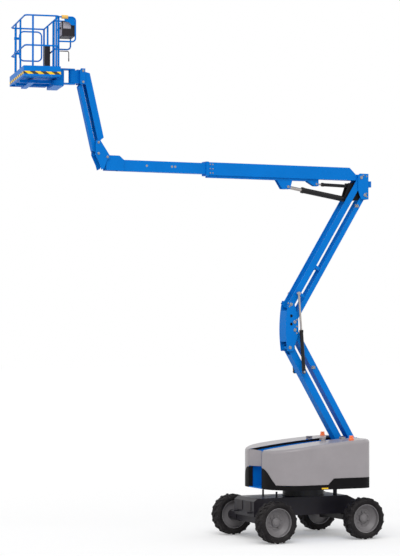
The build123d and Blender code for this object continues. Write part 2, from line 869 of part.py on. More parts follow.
# Flashing beacons, each with a foot shaped to the cover below it
for flank, x, outward in (("left", beacon_left_x, 1), ("right", beacon_right_x, -1)):
    with BuildPart() as beacon:
        with BuildSketch(Plane.XY.offset(cowl_rear_top + 2)):
            with Locations((x, beacon_y)):
                Circle(beacon_radius)
        extrude(amount=beacon_height - beacon_base_height, taper=6)
        with BuildSketch(Plane.XY.offset(cowl_middle_top)):
            with Locations((x, beacon_y)):
                Circle(beacon_radius + 8)
        extrude(amount=cowl_rear_top + 2 - cowl_middle_top)
        add(cowl_block(-seat_gap, cowl_inner), mode=Mode.SUBTRACT)
        if outward < 0:
            mirror(about=Plane.XZ, mode=Mode.REPLACE)
    beacon.part.label = f"beacon_{flank}"
    export_step(beacon.part, f"parts/beacon_{flank}.step")


def plated_arm(foot, head, depth, shift, inner, outer, web_reach):
    """Box arm between two eyes: rounded cheek plates, set off their pivot line, joined by two webs."""
    length = span(foot, head)
    turn = slope(foot, head)
    with BuildPart() as arm:
        with BuildSketch(side(outer)):
            with Locations(along(foot, head, length / 2, shift)):
                SlotCenterToCenter(length, depth, rotation=turn)
            with Locations(foot, head):
                Circle(arm_eye_radius)
            with Locations(foot, head):
                Circle(pivot_pin_radius + running_fit, mode=Mode.SUBTRACT)
        extrude(amount=outer - inner)
        mirror(about=Plane.XZ)
        with BuildSketch(side(web_reach)):
            for offset in (depth / 2 - arm_web / 2, arm_web / 2 - depth / 2):
                with Locations(along(foot, head, length / 2, shift + offset)):
                    Rectangle(length - 2 * depth, arm_web, rotation=turn)
        extrude(amount=2 * web_reach)
    return arm.part


# Lower riser arm, with the riser cylinders' base pins
with BuildPart() as lower_arm:
    add(
        plated_arm(
            lower_arm_foot,
            lower_arm_head,
            lower_arm_depth,
            lower_arm_offset,
            lower_arm_half_width - arm_plate,
            lower_arm_half_width,
            lower_arm_half_width - arm_plate + 1,
        )
    )
    with BuildSketch(side(riser_cylinder_y + riser_eye_half_width + 14)):
        with Locations(riser_cylinder_base):
            Circle(cylinder_pin_radius)
    extrude(amount=2 * (riser_cylinder_y + riser_eye_half_width + 14))
lower_arm.part.label = "lower_arm"
export_step(lower_arm.part, "parts/lower_arm.step")

# Lower riser link
with BuildPart() as lower_link:
    add(
        plated_arm(
            lower_link_foot,
            lower_link_head,
            lower_link_depth,
            lower_link_offset,
            lower_link_half_width - arm_plate,
            lower_link_half_width,
            lower_link_half_width - arm_plate + 1,
        )
    )
lower_link.part.label = "lower_link"
export_step(lower_link.part, "parts/lower_link.step")

# Middle pivot frame between the two pairs of riser arms
with BuildPart() as mid_pivot:
    with BuildSketch(side(mid_plate_outer)):
        with BuildLine():
            mid_height = (lower_arm_head[1] + upper_arm_foot[1]) / 2
            bulge = ThreePointArc(
                shifted(lower_arm_head, (mid_plate_lap, -mid_plate_over)),
                (lower_arm_head[0] + mid_plate_bulge, mid_height),
                shifted(upper_arm_foot, (mid_plate_lap, mid_plate_over)),
            )
            Polyline(
                bulge @ 1,
                shifted(upper_arm_foot, (-mid_plate_lap, mid_plate_over)),
                shifted(upper_link_foot, (-mid_plate_back, mid_plate_flare)),
                shifted(lower_link_head, (-mid_plate_back, -mid_plate_flare)),
                shifted(lower_arm_head, (-mid_plate_over, -mid_plate_over)),
                bulge @ 0,
            )
        make_face()
    extrude(amount=mid_plate_outer - mid_plate_inner)
    for pivot in (lower_arm_head, lower_link_head, upper_link_foot):
        with BuildSketch(side(mid_plate_outer + 8)):
            with Locations(pivot):
                Circle(pivot_pin_radius)
        extrude(amount=mid_plate_outer + 8)
    with BuildSketch(side(mid_plate_outer + 8)):
        with Locations(upper_arm_foot):
            Circle(pivot_pin_radius)
    extrude(amount=mid_plate_outer + 8 - upper_arm_inner)
    mirror(about=Plane.XZ)
    with BuildSketch(side(mid_plate_inner)):
        with Locations((lower_arm_head[0] + mid_plate_bulge - mid_web_setback, mid_height)):
            Rectangle(upright_web, mid_web_height)
    extrude(amount=2 * mid_plate_inner)
mid_pivot.part.label = "mid_pivot"
export_step(mid_pivot.part, "parts/mid_pivot.step")

# Upper riser arm: twin beams that straddle the boom, joined by cross tubes below them
with BuildPart() as upper_arm:
    length = span(upper_arm_foot, upper_arm_head)
    turn = slope(upper_arm_foot, upper_arm_head)
    with BuildSketch(side(upper_arm_outer)):
        with Locations(along(upper_arm_foot, upper_arm_head, length / 2, upper_arm_offset)):
            SlotCenterToCenter(length, upper_arm_depth, rotation=turn)
        for place in upper_arm_cross_places:
            with Locations(along(upper_arm_head, upper_arm_foot, place, -cross_tube_drop / 2)):
                Rectangle(2 * cross_tube_radius, cross_tube_drop, rotation=turn)
            with Locations(along(upper_arm_head, upper_arm_foot, place, -cross_tube_drop)):
                Circle(cross_tube_radius)
        with Locations(upper_arm_foot, upper_arm_head):
            Circle(pivot_pin_radius + running_fit, mode=Mode.SUBTRACT)
    extrude(amount=upper_arm_outer - upper_arm_inner)
    with BuildSketch(side(upper_arm_outer - arm_plate)):
        with Locations(along(upper_arm_foot, upper_arm_head, length / 2, upper_arm_offset)):
            Rectangle(length - 2 * upper_arm_depth, upper_arm_depth - 2 * arm_web, rotation=turn)
    extrude(amount=upper_arm_outer - upper_arm_inner, mode=Mode.SUBTRACT)
    with BuildSketch(side(riser_cylinder_y - riser_eye_half_width - open_pivot_gap)):
        with Locations(riser_cylinder_eye):
            Circle(cylinder_pin_radius)
    extrude(amount=riser_cylinder_y - riser_eye_half_width - open_pivot_gap - upper_arm_inner)
    mirror(about=Plane.XZ)
    for place in upper_arm_cross_places:
        with BuildSketch(side(upper_arm_inner + 5)):
            with Locations(along(upper_arm_head, upper_arm_foot, place, -cross_tube_drop)):
                Circle(cross_tube_radius)
                Circle(cross_tube_radius - 8, mode=Mode.SUBTRACT)
        extrude(amount=2 * (upper_arm_inner + 5))
upper_arm.part.label = "upper_arm"
export_step(upper_arm.part, "parts/upper_arm.step")

# Upper riser link: twin bars that straddle the lift cylinder
with BuildPart() as upper_link:
    length = span(upper_link_foot, upper_link_head)
    turn = slope(upper_link_foot, upper_link_head)
    with BuildSketch(side(upper_link_outer)):
        with Locations(along(upper_link_foot, upper_link_head, length / 2, upper_link_offset)):
            SlotCenterToCenter(length, upper_link_depth, rotation=turn)
        with Locations(upper_link_foot, upper_link_head):
            Circle(pivot_pin_radius + running_fit, mode=Mode.SUBTRACT)
    extrude(amount=upper_link_outer - upper_link_inner)
    with BuildSketch(side(upper_link_outer - arm_plate)):
        with Locations(along(upper_link_foot, upper_link_head, length / 2, upper_link_offset)):
            Rectangle(length - 2 * upper_link_depth, upper_link_depth - 2 * arm_web, rotation=turn)
    extrude(amount=upper_link_outer - upper_link_inner, mode=Mode.SUBTRACT)
    mirror(about=Plane.XZ)
    for place in upper_link_cross_places:
        with BuildSketch(side(upper_link_outer - arm_plate + 2)):
            with Locations(along(upper_link_head, upper_link_foot, place, -upper_link_offset)):
                Circle(cross_tube_radius)
                Circle(cross_tube_radius - 8, mode=Mode.SUBTRACT)
        extrude(amount=2 * (upper_link_outer - arm_plate + 2))
upper_link.part.label = "upper_link"
export_step(upper_link.part, "parts/upper_link.step")

# Upright at the riser's head: outer plates, rear web, cylinder tongues and pivot pins
with BuildPart() as upright:
    with BuildSketch(side(upright_plate_outer)):
        with BuildLine():
            Polyline(
                (upright_front, upright_top - 40),
                (upright_front - 40, upright_top),
                (upright_rear, upright_top),
                (upright_rear, upright_bottom),
                (upper_link_head[0] + 90, upright_bottom),
                (upright_front, upright_bottom + 190),
                close=True,
            )
        make_face()
    extrude(amount=upright_plate_outer - upright_plate_inner)
    with BuildSketch(side(tongue_outer)):
        with BuildLine():
            Polyline(
                (upright_rear, upright_bottom + 10),
                (upright_rear, tongue_top),
                (level_base[0] + 30, tongue_top),
                (level_base[0] + 45, level_base[1] - 20),
                (tongue_front, lift_base[1] + 60),
                (tongue_front, lift_base[1] - 20),
                (tongue_front - 20, lift_base[1] - 40),
                (lift_base[0] - 60, lift_base[1] - 40),
                close=True,
            )
        make_face()
    extrude(amount=tongue_outer - tongue_inner)
    for pivot in (upper_arm_head, upper_link_head):
        with BuildSketch(side(upright_plate_outer + 8)):
            with Locations(pivot):
                Circle(pivot_pin_radius)
        extrude(amount=upright_plate_outer + 8)
    for pivot in (lift_base, level_base):
        with BuildSketch(side(tongue_outer)):
            with Locations(pivot):
                Circle(cylinder_pin_radius)
        extrude(amount=tongue_outer)
    mirror(about=Plane.XZ)
    with BuildSketch(side(upright_plate_inner)):
        with Locations((upright_rear + upright_web / 2, (upright_bottom + upright_top) / 2)):
            Rectangle(upright_web, upright_top - upright_bottom)
    extrude(amount=2 * upright_plate_inner)
    with BuildSketch(side(stub_half_width)):
        with Locations(((stub_rear + upright_rear) / 2, (stub_bottom + stub_top) / 2)):
            Rectangle(upright_rear - stub_rear, stub_top - stub_bottom)
    extrude(amount=2 * stub_half_width)
upright.part.label = "upright"
export_step(upright.part, "parts/upright.step")


def make_barrel(base, pin, y, radius, length, bore, eye_half_width, eye_radius):
    """Cylinder barrel along a side-view line, with an eye on its base pin and an open bore."""
    turn = slope(base, pin)
    barrel_start = eye_radius * 0.8
    axis_plane = Plane(
        (base[0], y, base[1]), x_dir=(0, 1, 0), z_dir=(cos(radians(turn)), 0, sin(radians(turn)))
    )
    with BuildPart() as barrel:
        with BuildSketch(axis_plane.offset(barrel_start)):
            Circle(radius)
        extrude(amount=length - barrel_start)
        with BuildSketch(side(y + eye_half_width)):
            with Locations(base):
                Circle(eye_radius)
        extrude(amount=2 * eye_half_width)
        with BuildSketch(axis_plane.offset(length)):
            Circle(bore)
        extrude(amount=-(length - eye_radius - 12), mode=Mode.SUBTRACT)
        with BuildSketch(side(y + eye_half_width)):
            with Locations(base):
                Circle(cylinder_pin_radius + running_fit)
        extrude(amount=2 * eye_half_width, mode=Mode.SUBTRACT)
    return barrel.part


def make_rod(base, pin, y, radius, barrel_length, overlap, eye_half_width, eye_radius):
    """Cylinder rod along a side-view line, with an eye around its open pivot."""
    turn = slope(base, pin)
    axis_plane = Plane(
        (base[0], y, base[1]), x_dir=(0, 1, 0), z_dir=(cos(radians(turn)), 0, sin(radians(turn)))
    )
    rod_start = barrel_length - overlap
    with BuildPart() as rod:
        with BuildSketch(axis_plane.offset(rod_start)):
            Circle(radius)
        extrude(amount=span(base, pin) - rod_start)
        with BuildSketch(side(y + eye_half_width)):
            with Locations(pin):
                Circle(eye_radius)
        extrude(amount=2 * eye_half_width)
    return rod.part


# Riser cylinders, one on each flank of the riser
for flank, outward in (("left", 1), ("right", -1)):
    y = outward * riser_cylinder_y
    barrel = make_barrel(
        riser_cylinder_base,
        riser_cylinder_eye,
        y,
        riser_barrel_radius,
        riser_barrel_length,
        riser_rod_radius + running_fit,
        riser_eye_half_width,
        riser_eye_radius,
    )
    barrel.label = f"riser_barrel_{flank}"
    export_step(barrel, f"parts/riser_barrel_{flank}.step")
    rod = make_rod(
        riser_cylinder_base,
        riser_cylinder_eye,
        y,
        riser_rod_radius,
        riser_barrel_length,
        riser_rod_engagement,
        riser_eye_half_width,
        riser_eye_radius,
    )
    rod.label = f"riser_rod_{flank}"
    export_step(rod, f"parts/riser_rod_{flank}.step")

# Boom: outer tube with pivot eye, collar, hose tray and cylinder brackets
with BuildPart() as boom:
    with BuildSketch(side(boom_half_width)):
        with BuildLine():
            Polyline(
                (boom_pivot[0], boom_bottom),
                (boom_collar_front, boom_bottom),
                (boom_collar_front, boom_top),
                (boom_rear_top_x, boom_top),
                boom_chamfer_foot,
                (boom_pivot[0], boom_pivot[1] + boom_eye_radius),
            )
            ThreePointArc(
                (boom_pivot[0], boom_pivot[1] + boom_eye_radius),
                (boom_pivot[0] - boom_eye_radius, boom_pivot[1]),
                (boom_pivot[0], boom_bottom),
            )
        make_face()
        with Locations(boom_pivot):
            Circle(pivot_pin_radius + running_fit, mode=Mode.SUBTRACT)
    extrude(amount=2 * boom_half_width)
    with BuildSketch(side(boom_half_width + boom_collar_lip)):
        with Locations((boom_collar_front - boom_collar_length / 2, (boom_bottom + boom_top) / 2)):
            Rectangle(boom_collar_length, boom_top - boom_bottom + 2 * boom_collar_lip)
    extrude(amount=2 * (boom_half_width + boom_collar_lip))
    with BuildSketch(side(boom_half_width - boom_wall)):
        cavity_front = boom_collar_front - boom_collar_length
        with Locations(((boom_cavity_rear + cavity_front) / 2, (boom_bottom + boom_top) / 2)):
            Rectangle(cavity_front - boom_cavity_rear, boom_top - boom_bottom - 2 * boom_wall)
    extrude(amount=2 * (boom_half_width - boom_wall), mode=Mode.SUBTRACT)
    with BuildSketch(side(extension_half_width + slide_gap)):
        with Locations((boom_collar_front, (extension_bottom + extension_top) / 2)):
            Rectangle(3 * boom_collar_length, extension_top - extension_bottom + 2 * slide_gap)
    extrude(amount=2 * (extension_half_width + slide_gap), mode=Mode.SUBTRACT)
    with BuildSketch(side(tray_half_width)):
        with Locations(((tray_rear + tray_front) / 2, (tray_bottom + boom_bottom) / 2)):
            Rectangle(tray_front - tray_rear, boom_bottom - tray_bottom)
    extrude(amount=2 * tray_half_width)
    with BuildSketch(side(lift_bracket_outer)):
        with BuildLine():
            Polyline(
                (lift_pin[0] + lift_bracket_front, boom_bottom),
                (lift_pin[0] + lift_bracket_toe, lift_pin[1] - lift_bracket_drop),
                (lift_pin[0] - lift_bracket_heel, lift_pin[1] - lift_bracket_drop),
                (lift_pin[0] - lift_bracket_rear, boom_bottom),
                close=True,
            )
        make_face()
    extrude(amount=lift_bracket_outer - lift_bracket_inner)
    with BuildSketch(side(lift_bracket_outer + 12)):
        with Locations(lift_pin):
            Circle(cylinder_pin_radius + 8)
    extrude(amount=12)
    with BuildSketch(side(level_bracket_outer)):
        with BuildLine():
            Polyline(
                (level_pin[0] + level_bracket_front, boom_bottom),
                (level_pin[0] + level_bracket_front, level_pin[1] + level_bracket_rise),
                (level_pin[0] + level_bracket_toe, level_pin[1] - level_bracket_drop),
                (level_pin[0] - level_bracket_rear, level_pin[1] - level_bracket_drop),
                (level_pin[0] - level_bracket_rear, boom_bottom),
                close=True,
            )
        make_face()
    extrude(amount=level_bracket_outer - level_bracket_inner)
    with BuildSketch(side(level_bracket_outer + 10)):
        with Locations(level_pin):
            Circle(cylinder_pin_radius)
    extrude(amount=10)
    mirror(about=Plane.XZ)
boom.part.label = "boom"
export_step(boom.part, "parts/boom.step")

# Lift cylinder and levelling cylinder below the boom
lift_barrel = make_barrel(
    lift_base, lift_pin, 0, lift_barrel_radius, lift_barrel_length, lift_rod_radius + running_fit, 40, 55
)
lift_barrel.label = "lift_barrel"
export_step(lift_barrel, "parts/lift_barrel.step")
lift_rod = make_rod(
    lift_base, lift_pin, 0, lift_rod_radius, lift_barrel_length, lift_rod_engagement, 34, lift_eye_radius
)
lift_rod.label = "lift_rod"
export_step(lift_rod, "parts/lift_rod.step")
level_barrel = make_barrel(
    level_base, level_pin, 0, level_barrel_radius, level_barrel_length, level_rod_radius + running_fit, 32, 35
)
level_barrel.label = "level_barrel"
export_step(level_barrel, "parts/level_barrel.step")
level_rod = make_rod(
    level_base, level_pin, 0, level_rod_radius, level_barrel_length, level_rod_engagement, 28, level_eye_radius
)
level_rod.label = "level_rod"
export_step(level_rod, "parts/level_rod.step")

# Boom extension: inner tube, tail pads and forked tip
with BuildPart() as boom_extension:
    with BuildSketch(side(extension_half_width)):
        with Locations(
            ((extension_tail + extension_tube_front) / 2, (extension_bottom + extension_top) / 2)
        ):
            Rectangle(extension_tube_front - extension_tail, extension_top - extension_bottom)
    extrude(amount=2 * extension_half_width)
    pad_half_width = boom_half_width - boom_wall - slide_gap
    with BuildSketch(side(pad_half_width)):
        with Locations((extension_tail + extension_pad_length / 2, (boom_bottom + boom_top) / 2)):
            Rectangle(extension_pad_length, boom_top - boom_bottom - 2 * boom_wall - 2 * slide_gap)
    extrude(amount=2 * pad_half_width)
    with BuildSketch(side(extension_half_width - extension_wall)):
        with Locations(
            ((extension_tail + extension_tube_front) / 2, (extension_bottom + extension_top) / 2)
        ):
            Rectangle(
                extension_tube_front - extension_tail,
                extension_top - extension_bottom - 2 * extension_wall,
            )
    extrude(amount=2 * (extension_half_width - extension_wall), mode=Mode.SUBTRACT)
    with BuildSketch(side(tip_cheek_outer)):
        with BuildLine():
            Polyline(
                (tip_rear, tip_bottom),
                (tip_front, tip_bottom),
                (tip_front, tip_top - 60),
                (tip_front_top, tip_top),
                (tip_rear_top, tip_top),
                (tip_rear, extension_top),
                close=True,
            )
        make_face()
        with Locations(level_pivot):
            Circle(jib_eye_radius)
    extrude(amount=tip_cheek_outer - tip_cheek_inner)
    mirror(about=Plane.XZ)
    with BuildSketch(side(tip_cheek_inner)):
        with Locations(((tip_rear_top + tip_front_top) / 2, tip_top - tip_deck_thickness / 2)):
            Rectangle(tip_front_top - tip_rear_top, tip_deck_thickness)
    extrude(amount=2 * tip_cheek_inner)
    with BuildSketch(side(jib_plate_outer + 8)):
        with Locations(level_pivot):
            Circle(jib_pin_radius)
    extrude(amount=2 * (jib_plate_outer + 8))
boom_extension.part.label = "boom_extension"
export_step(boom_extension.part, "parts/boom_extension.step")

# Jib base: levelled plates on the boom tip that carry the jib's lower pins
with BuildPart() as jib_base:
    with BuildSketch(side(jib_plate_outer)):
        with BuildLine():
            Polyline(
                shifted(level_pivot, (67, -228)),
                shifted(level_pivot, (131, -259)),
                shifted(level_pivot, (157, -168)),
                shifted(jib_lower_foot, (60, -30)),
                shifted(jib_upper_foot, (60, 20)),
                shifted(jib_upper_foot, (15, 52)),
                shifted(jib_upper_foot, (-35, 52)),
                shifted(level_pivot, (-43, 42)),
                shifted(level_pivot, (-51, -38)),
                shifted(level_pivot, (7, -56)),
                close=True,
            )
        make_face()
        with Locations(level_pivot):
            Circle(jib_pin_radius + running_fit, mode=Mode.SUBTRACT)
    extrude(amount=jib_plate_outer - jib_plate_inner)
    for pivot in (jib_lower_foot, jib_upper_foot):
        with BuildSketch(side(jib_plate_outer + 8)):
            with Locations(pivot):
                Circle(jib_pin_radius)
        extrude(amount=jib_plate_outer + 8)
    mirror(about=Plane.XZ)
    with BuildSketch(side(jib_plate_inner)):
        with Locations(shifted(jib_lower_foot, (-67, 60))):
            Rectangle(upright_web, 150)
    extrude(amount=2 * jib_plate_inner)
jib_base.part.label = "jib_base"
export_step(jib_base.part, "parts/jib_base.step")


def make_jib_arm(foot, head, half_width, near_face, far_face):
    """Jib arm: channel beside its pivot line, with cheeks that end in eyes and collars."""
    length = span(foot, head)
    web_face = far_face
    web_offset = web_face - jib_plate / 2 if web_face > 0 else web_face + jib_plate / 2
    with BuildPart() as arm:
        with BuildSketch(side(half_width)):
            with BuildLine():
                Polyline(
                    along(foot, head, jib_web_start, near_face),
                    along(foot, head, length - jib_web_start, near_face),
                    along(foot, head, length - jib_web_start, far_face),
                    along(foot, head, jib_web_start, far_face),
                    close=True,
                )
            make_face()
            for eye, inner in ((foot, jib_web_start), (head, length - jib_web_start)):
                with BuildLine():
                    Polyline(
                        shifted(eye, (0, 0)),
                        along(foot, head, inner, near_face),
                        along(foot, head, inner, far_face),
                        close=True,
                    )
                make_face()
                with Locations(eye):
                    Circle(jib_eye_radius)
            with Locations(foot, head):
                Circle(jib_pin_radius + running_fit, mode=Mode.SUBTRACT)
        extrude(amount=jib_plate)
        with BuildSketch(side(jib_plate_inner - slide_gap)):
            with Locations(foot, head):
                Circle(jib_eye_radius)
                Circle(jib_pin_radius + running_fit, mode=Mode.SUBTRACT)
        extrude(amount=jib_plate_inner - slide_gap - half_width + jib_plate)
        mirror(about=Plane.XZ)
        with BuildSketch(side(half_width - jib_plate)):
            with Locations(along(foot, head, length / 2, web_offset)):
                Rectangle(length - 2 * jib_web_start, jib_plate, rotation=slope(foot, head))
        extrude(amount=2 * (half_width - jib_plate))
    return arm.part


# Jib arms: the lower one lies ahead of its pivot line and the upper one behind
jib_lower_arm = make_jib_arm(jib_lower_foot, jib_lower_head, jib_lower_half_width, 0, -jib_lower_depth)
jib_lower_arm.label = "jib_lower_arm"
export_step(jib_lower_arm, "parts/jib_lower_arm.step")
jib_upper_arm = make_jib_arm(
    jib_upper_foot,
    jib_upper_head,
    jib_upper_half_width,
    jib_upper_offset,
    jib_upper_offset + jib_upper_depth,
)
jib_upper_arm.label = "jib_upper_arm"
export_step(jib_upper_arm, "parts/jib_upper_arm.step")

# Jib head: levelled plates and the rotary actuator's housing
with BuildPart() as jib_head:
    with BuildSketch(side(jib_plate_outer)):
        with BuildLine():
            Polyline(
                shifted(jib_lower_head, (-48, -42)),
                (head_nose_rear + 20, jib_lower_head[1] - 42),
                (head_nose_rear + 20, rotator_top),
                shifted(jib_upper_head, (42, 48)),
                shifted(jib_upper_head, (-48, 48)),
                close=True,
            )
        make_face()
    extrude(amount=jib_plate_outer - jib_plate_inner)
    for pivot in (jib_lower_head, jib_upper_head):
        with BuildSketch(side(jib_plate_outer + 8)):
            with Locations(pivot):
                Circle(jib_pin_radius)
        extrude(amount=jib_plate_outer + 8)
    mirror(about=Plane.XZ)
    with BuildSketch(side(jib_plate_inner)):
        with Locations((head_nose_rear + 13, (rotator_bottom + rotator_top) / 2)):
            Rectangle(14, rotator_top - rotator_bottom)
    extrude(amount=2 * jib_plate_inner)
    with BuildSketch(Plane.XY.offset(rotator_bottom)):
        with Locations((rotator_x, 0)):
            Circle(rotator_radius)
        with Locations(((head_nose_rear + 20 + rotator_x) / 2, 0)):
            Rectangle(rotator_x - head_nose_rear - 20, 2 * head_nose_half_width)
    extrude(amount=rotator_top - rotator_bottom)
jib_head.part.label = "jib_head"
export_step(jib_head.part, "parts/jib_head.step")

# Platform directions: X away from the rotator, Y to the platform's left
platform = Plane(
    (rotator_x, 0, 0),
    x_dir=(cos(radians(platform_turn)), sin(radians(platform_turn)), 0),
    z_dir=(0, 0, 1),
)

# Platform support: rotator clamp, rear beam and bearers under the floor
floor_bottom = platform_floor_top - platform_floor_thickness
with BuildPart() as platform_support:
    for bottom in (rotator_top + rotator_gap, rotator_bottom - rotator_gap - rotator_plate):
        with BuildSketch(platform.offset(bottom)):
            Circle(rotator_plate_radius)
            with Locations((platform_rear / 2, 0)):
                Rectangle(platform_rear - 8, 2 * rotator_plate_radius)
        extrude(amount=rotator_plate)
    with BuildSketch(platform.offset(rotator_bottom - rotator_gap - rotator_plate)):
        with Locations((platform_rear - 110, 0)):
            Rectangle(206, 2 * rotator_plate_radius)
    extrude(amount=rotator_top - rotator_bottom + 2 * rotator_gap + 2 * rotator_plate)
    with BuildSketch(platform.offset(floor_bottom - seat_gap - rear_beam_height)):
        with Locations((rear_beam_start + rear_beam_depth / 2, 0)):
            Rectangle(rear_beam_depth, 2 * rear_beam_half_width)
    extrude(amount=rear_beam_height)
    with BuildSketch(platform.offset(floor_bottom - seat_gap - bearer_depth)):
        bearer_middle = (rear_beam_start + platform_rear + platform_depth) / 2
        with Locations((bearer_middle, bearer_y), (bearer_middle, -bearer_y)):
            Rectangle(platform_rear + platform_depth - rear_beam_start - 40, 60)
        with Locations((cross_bearer_x, (cross_bearer_left + cross_bearer_right) / 2)):
            Rectangle(cross_bearer_width, cross_bearer_left - cross_bearer_right)
    extrude(amount=bearer_depth)
platform_support.part.label = "platform_support"
export_step(platform_support.part, "parts/platform_support.step")

# Platform floor: a sheet in a rim that stands up as toe boards
with BuildPart() as platform_floor:
    with BuildSketch(platform.offset(floor_bottom)):
        with Locations((platform_rear + platform_depth / 2, 0)):
            Rectangle(platform_depth, 2 * platform_half_width)
            Rectangle(
                platform_depth - 2 * toe_board_thickness,
                2 * platform_half_width - 2 * toe_board_thickness,
                mode=Mode.SUBTRACT,
            )
    extrude(amount=toe_board_top - floor_bottom)
    with BuildSketch(platform.offset(platform_floor_top - platform_floor_sheet)):
        with Locations((platform_rear + platform_depth / 2, 0)):
            Rectangle(platform_depth - toe_board_thickness, 2 * platform_half_width - toe_board_thickness)
    extrude(amount=platform_floor_sheet)
platform_floor.part.label = "platform_floor"
export_step(platform_floor.part, "parts/platform_floor.step")

# Guard rails: bent top and middle rails on posts, guard hoops round the control box and a hose hook
rail_back = platform_rear + rail_inset
rail_front = platform_rear + platform_depth - rail_inset
rail_side = platform_half_width - rail_inset
gate_post_x = rail_front - gate_post_setback
posts = [
    (rail_front, rail_side / 3),
    (rail_front, -rail_side / 3),
    (gate_post_x, -rail_side),
    (rail_front - 0.23 * (rail_front - rail_back), rail_side),
    (rail_back + 55, rail_side),
    (rail_back, rail_side - rail_bend),
    (rail_back, rail_side / 4),
    (rail_back, -rail_side / 2),
    (rail_back, -rail_side),
]
rail_corners = [
    (gate_post_x, -rail_side),
    (rail_front, -rail_side),
    (rail_front, rail_side),
    (rail_back, rail_side),
    (rail_back, -rail_side),
]


def platform_point(forward, left, height):
    """A point in the platform's own directions as a place in the machine."""
    return platform.from_local_coords((forward, left, height))


def bent_tube(points, bend, radius):
    """Round tube along a line with bent corners."""
    with BuildPart() as tube:
        with BuildLine():
            run = FilletPolyline(*points, radius=bend)
        with BuildSketch(Plane(run @ 0, z_dir=run % 0)):
            Circle(radius)
        sweep()
    return tube.part


def hoop_points(left, bottom):
    """Corners of a guard hoop behind the rear rail, from its top end to its bottom end."""
    return [
        platform_point(rail_back, left, hoop_top),
        platform_point(rail_back - hoop_reach, left, hoop_top),
        platform_point(rail_back - hoop_reach, left, bottom),
        platform_point(rail_back, left, bottom),
    ]


with BuildPart() as guard_rails:
    with BuildSketch(platform.offset(platform_floor_top)):
        with Locations(*posts):
            Circle(post_radius)
    extrude(amount=rail_top - platform_floor_top)
    for height in (rail_middle, rail_top):
        add(bent_tube([platform_point(*corner, height) for corner in rail_corners], rail_bend, rail_radius))
    foot = platform_point(rail_back, -rail_side, rail_top)
    tip = platform_point(gate_post_x, -rail_side, rail_top)
    with BuildSketch(Plane(foot, z_dir=tip - foot)):
        Circle(rail_radius)
    extrude(amount=(tip - foot).length)
    for left, bottom in ((near_hoop_y, near_hoop_bottom), (far_hoop_y, far_hoop_bottom)):
        with BuildSketch(platform.offset(platform_floor_top)):
            with Locations((rail_back, left)):
                Circle(post_radius)
        extrude(amount=rail_top - platform_floor_top)
        add(bent_tube(hoop_points(left, bottom), hoop_bend, hoop_radius))
    hook_line = [
        platform_point(rail_back, near_hoop_y, hook_height),
        platform_point(rail_back - hook_reach, near_hoop_y, hook_height),
        platform_point(rail_back - hook_reach, near_hoop_y, hook_height - hook_drop),
    ]
    add(bent_tube(hook_line, 30, hook_radius))
guard_rails.part.label = "guard_rails"
export_step(guard_rails.part, "parts/guard_rails.step")

# Entry gate: a half-height hoop on two sleeves round the gate post
gate_front = gate_post_x - gate_hinge_reach
gate_rear = rail_back + post_radius + gate_gap
gate_middle = (gate_front + gate_rear) / 2
with BuildPart() as gate:
    upper_half = [
        platform_point(gate_front, -rail_side, (gate_bottom + gate_top) / 2 - 2),
        platform_point(gate_front, -rail_side, gate_top),
        platform_point(gate_rear, -rail_side, gate_top),
        platform_point(gate_rear, -rail_side, (gate_bottom + gate_top) / 2 - 2),
    ]
    lower_half = [
        platform_point(gate_front, -rail_side, (gate_bottom + gate_top) / 2),
        platform_point(gate_front, -rail_side, gate_bottom),
        platform_point(gate_rear, -rail_side, gate_bottom),
        platform_point(gate_rear, -rail_side, (gate_bottom + gate_top) / 2),
    ]
    add(bent_tube(upper_half, gate_bend, gate_tube_radius))
    add(bent_tube(lower_half, gate_bend, gate_tube_radius))
    for height in (gate_bottom + 120, gate_top - 120 - gate_sleeve_height):
        with BuildSketch(platform.offset(height)):
            with Locations((gate_post_x, -rail_side)):
                Circle(post_radius + gate_sleeve_wall)
            with Locations((gate_post_x - gate_hinge_reach / 2, -rail_side)):
                Rectangle(gate_hinge_reach, gate_sleeve_wall)
            with Locations((gate_post_x, -rail_side)):
                Circle(post_radius + running_fit, mode=Mode.SUBTRACT)
        extrude(amount=gate_sleeve_height)
gate.part.label = "gate"
export_step(gate.part, "parts/gate.step")

# Control box on two straps behind the rear top rail
with BuildPart() as control_box:
    strap_face = rail_back - rail_radius - seat_gap - strap_thickness
    box_front = strap_face - control_box_setback
    with BuildSketch(platform.offset(control_box_bottom)):
        with Locations((box_front - control_box_depth / 2, control_box_y)):
            Rectangle(control_box_depth, control_box_width)
    extrude(amount=control_box_height)
    fillet(control_box.edges().filter_by(Axis.Z), 20)
    with BuildSketch(platform.offset(control_box_bottom + control_box_height / 2)):
        for strap_y in (control_box_y - 120, control_box_y + 120):
            with Locations((strap_face + strap_thickness / 2, strap_y)):
                Rectangle(strap_thickness, strap_width)
            with Locations((strap_face - control_box_setback / 2, strap_y)):
                Rectangle(control_box_setback + 20, strap_width)
    extrude(amount=30)
    with BuildSketch(platform.offset(control_box_bottom + control_box_height / 2)):
        for strap_y in (control_box_y - 120, control_box_y + 120):
            with Locations((strap_face + strap_thickness / 2, strap_y)):
                Rectangle(strap_thickness, strap_width)
    extrude(amount=rail_top - control_box_bottom - control_box_height / 2 + 10)
control_box.part.label = "control_box"
export_step(control_box.part, "parts/control_box.step")

# Upright case on the floor against the rear rail
with BuildPart() as rear_case:
    with BuildSketch(platform.offset(platform_floor_top + seat_gap)):
        with Locations((rail_back + post_radius + 6 + rear_case_depth / 2, rear_case_y)):
            RectangleRounded(rear_case_depth, rear_case_width, 14)
    extrude(amount=rear_case_top - platform_floor_top)
rear_case.part.label = "rear_case"
export_step(rear_case.part, "parts/rear_case.step")

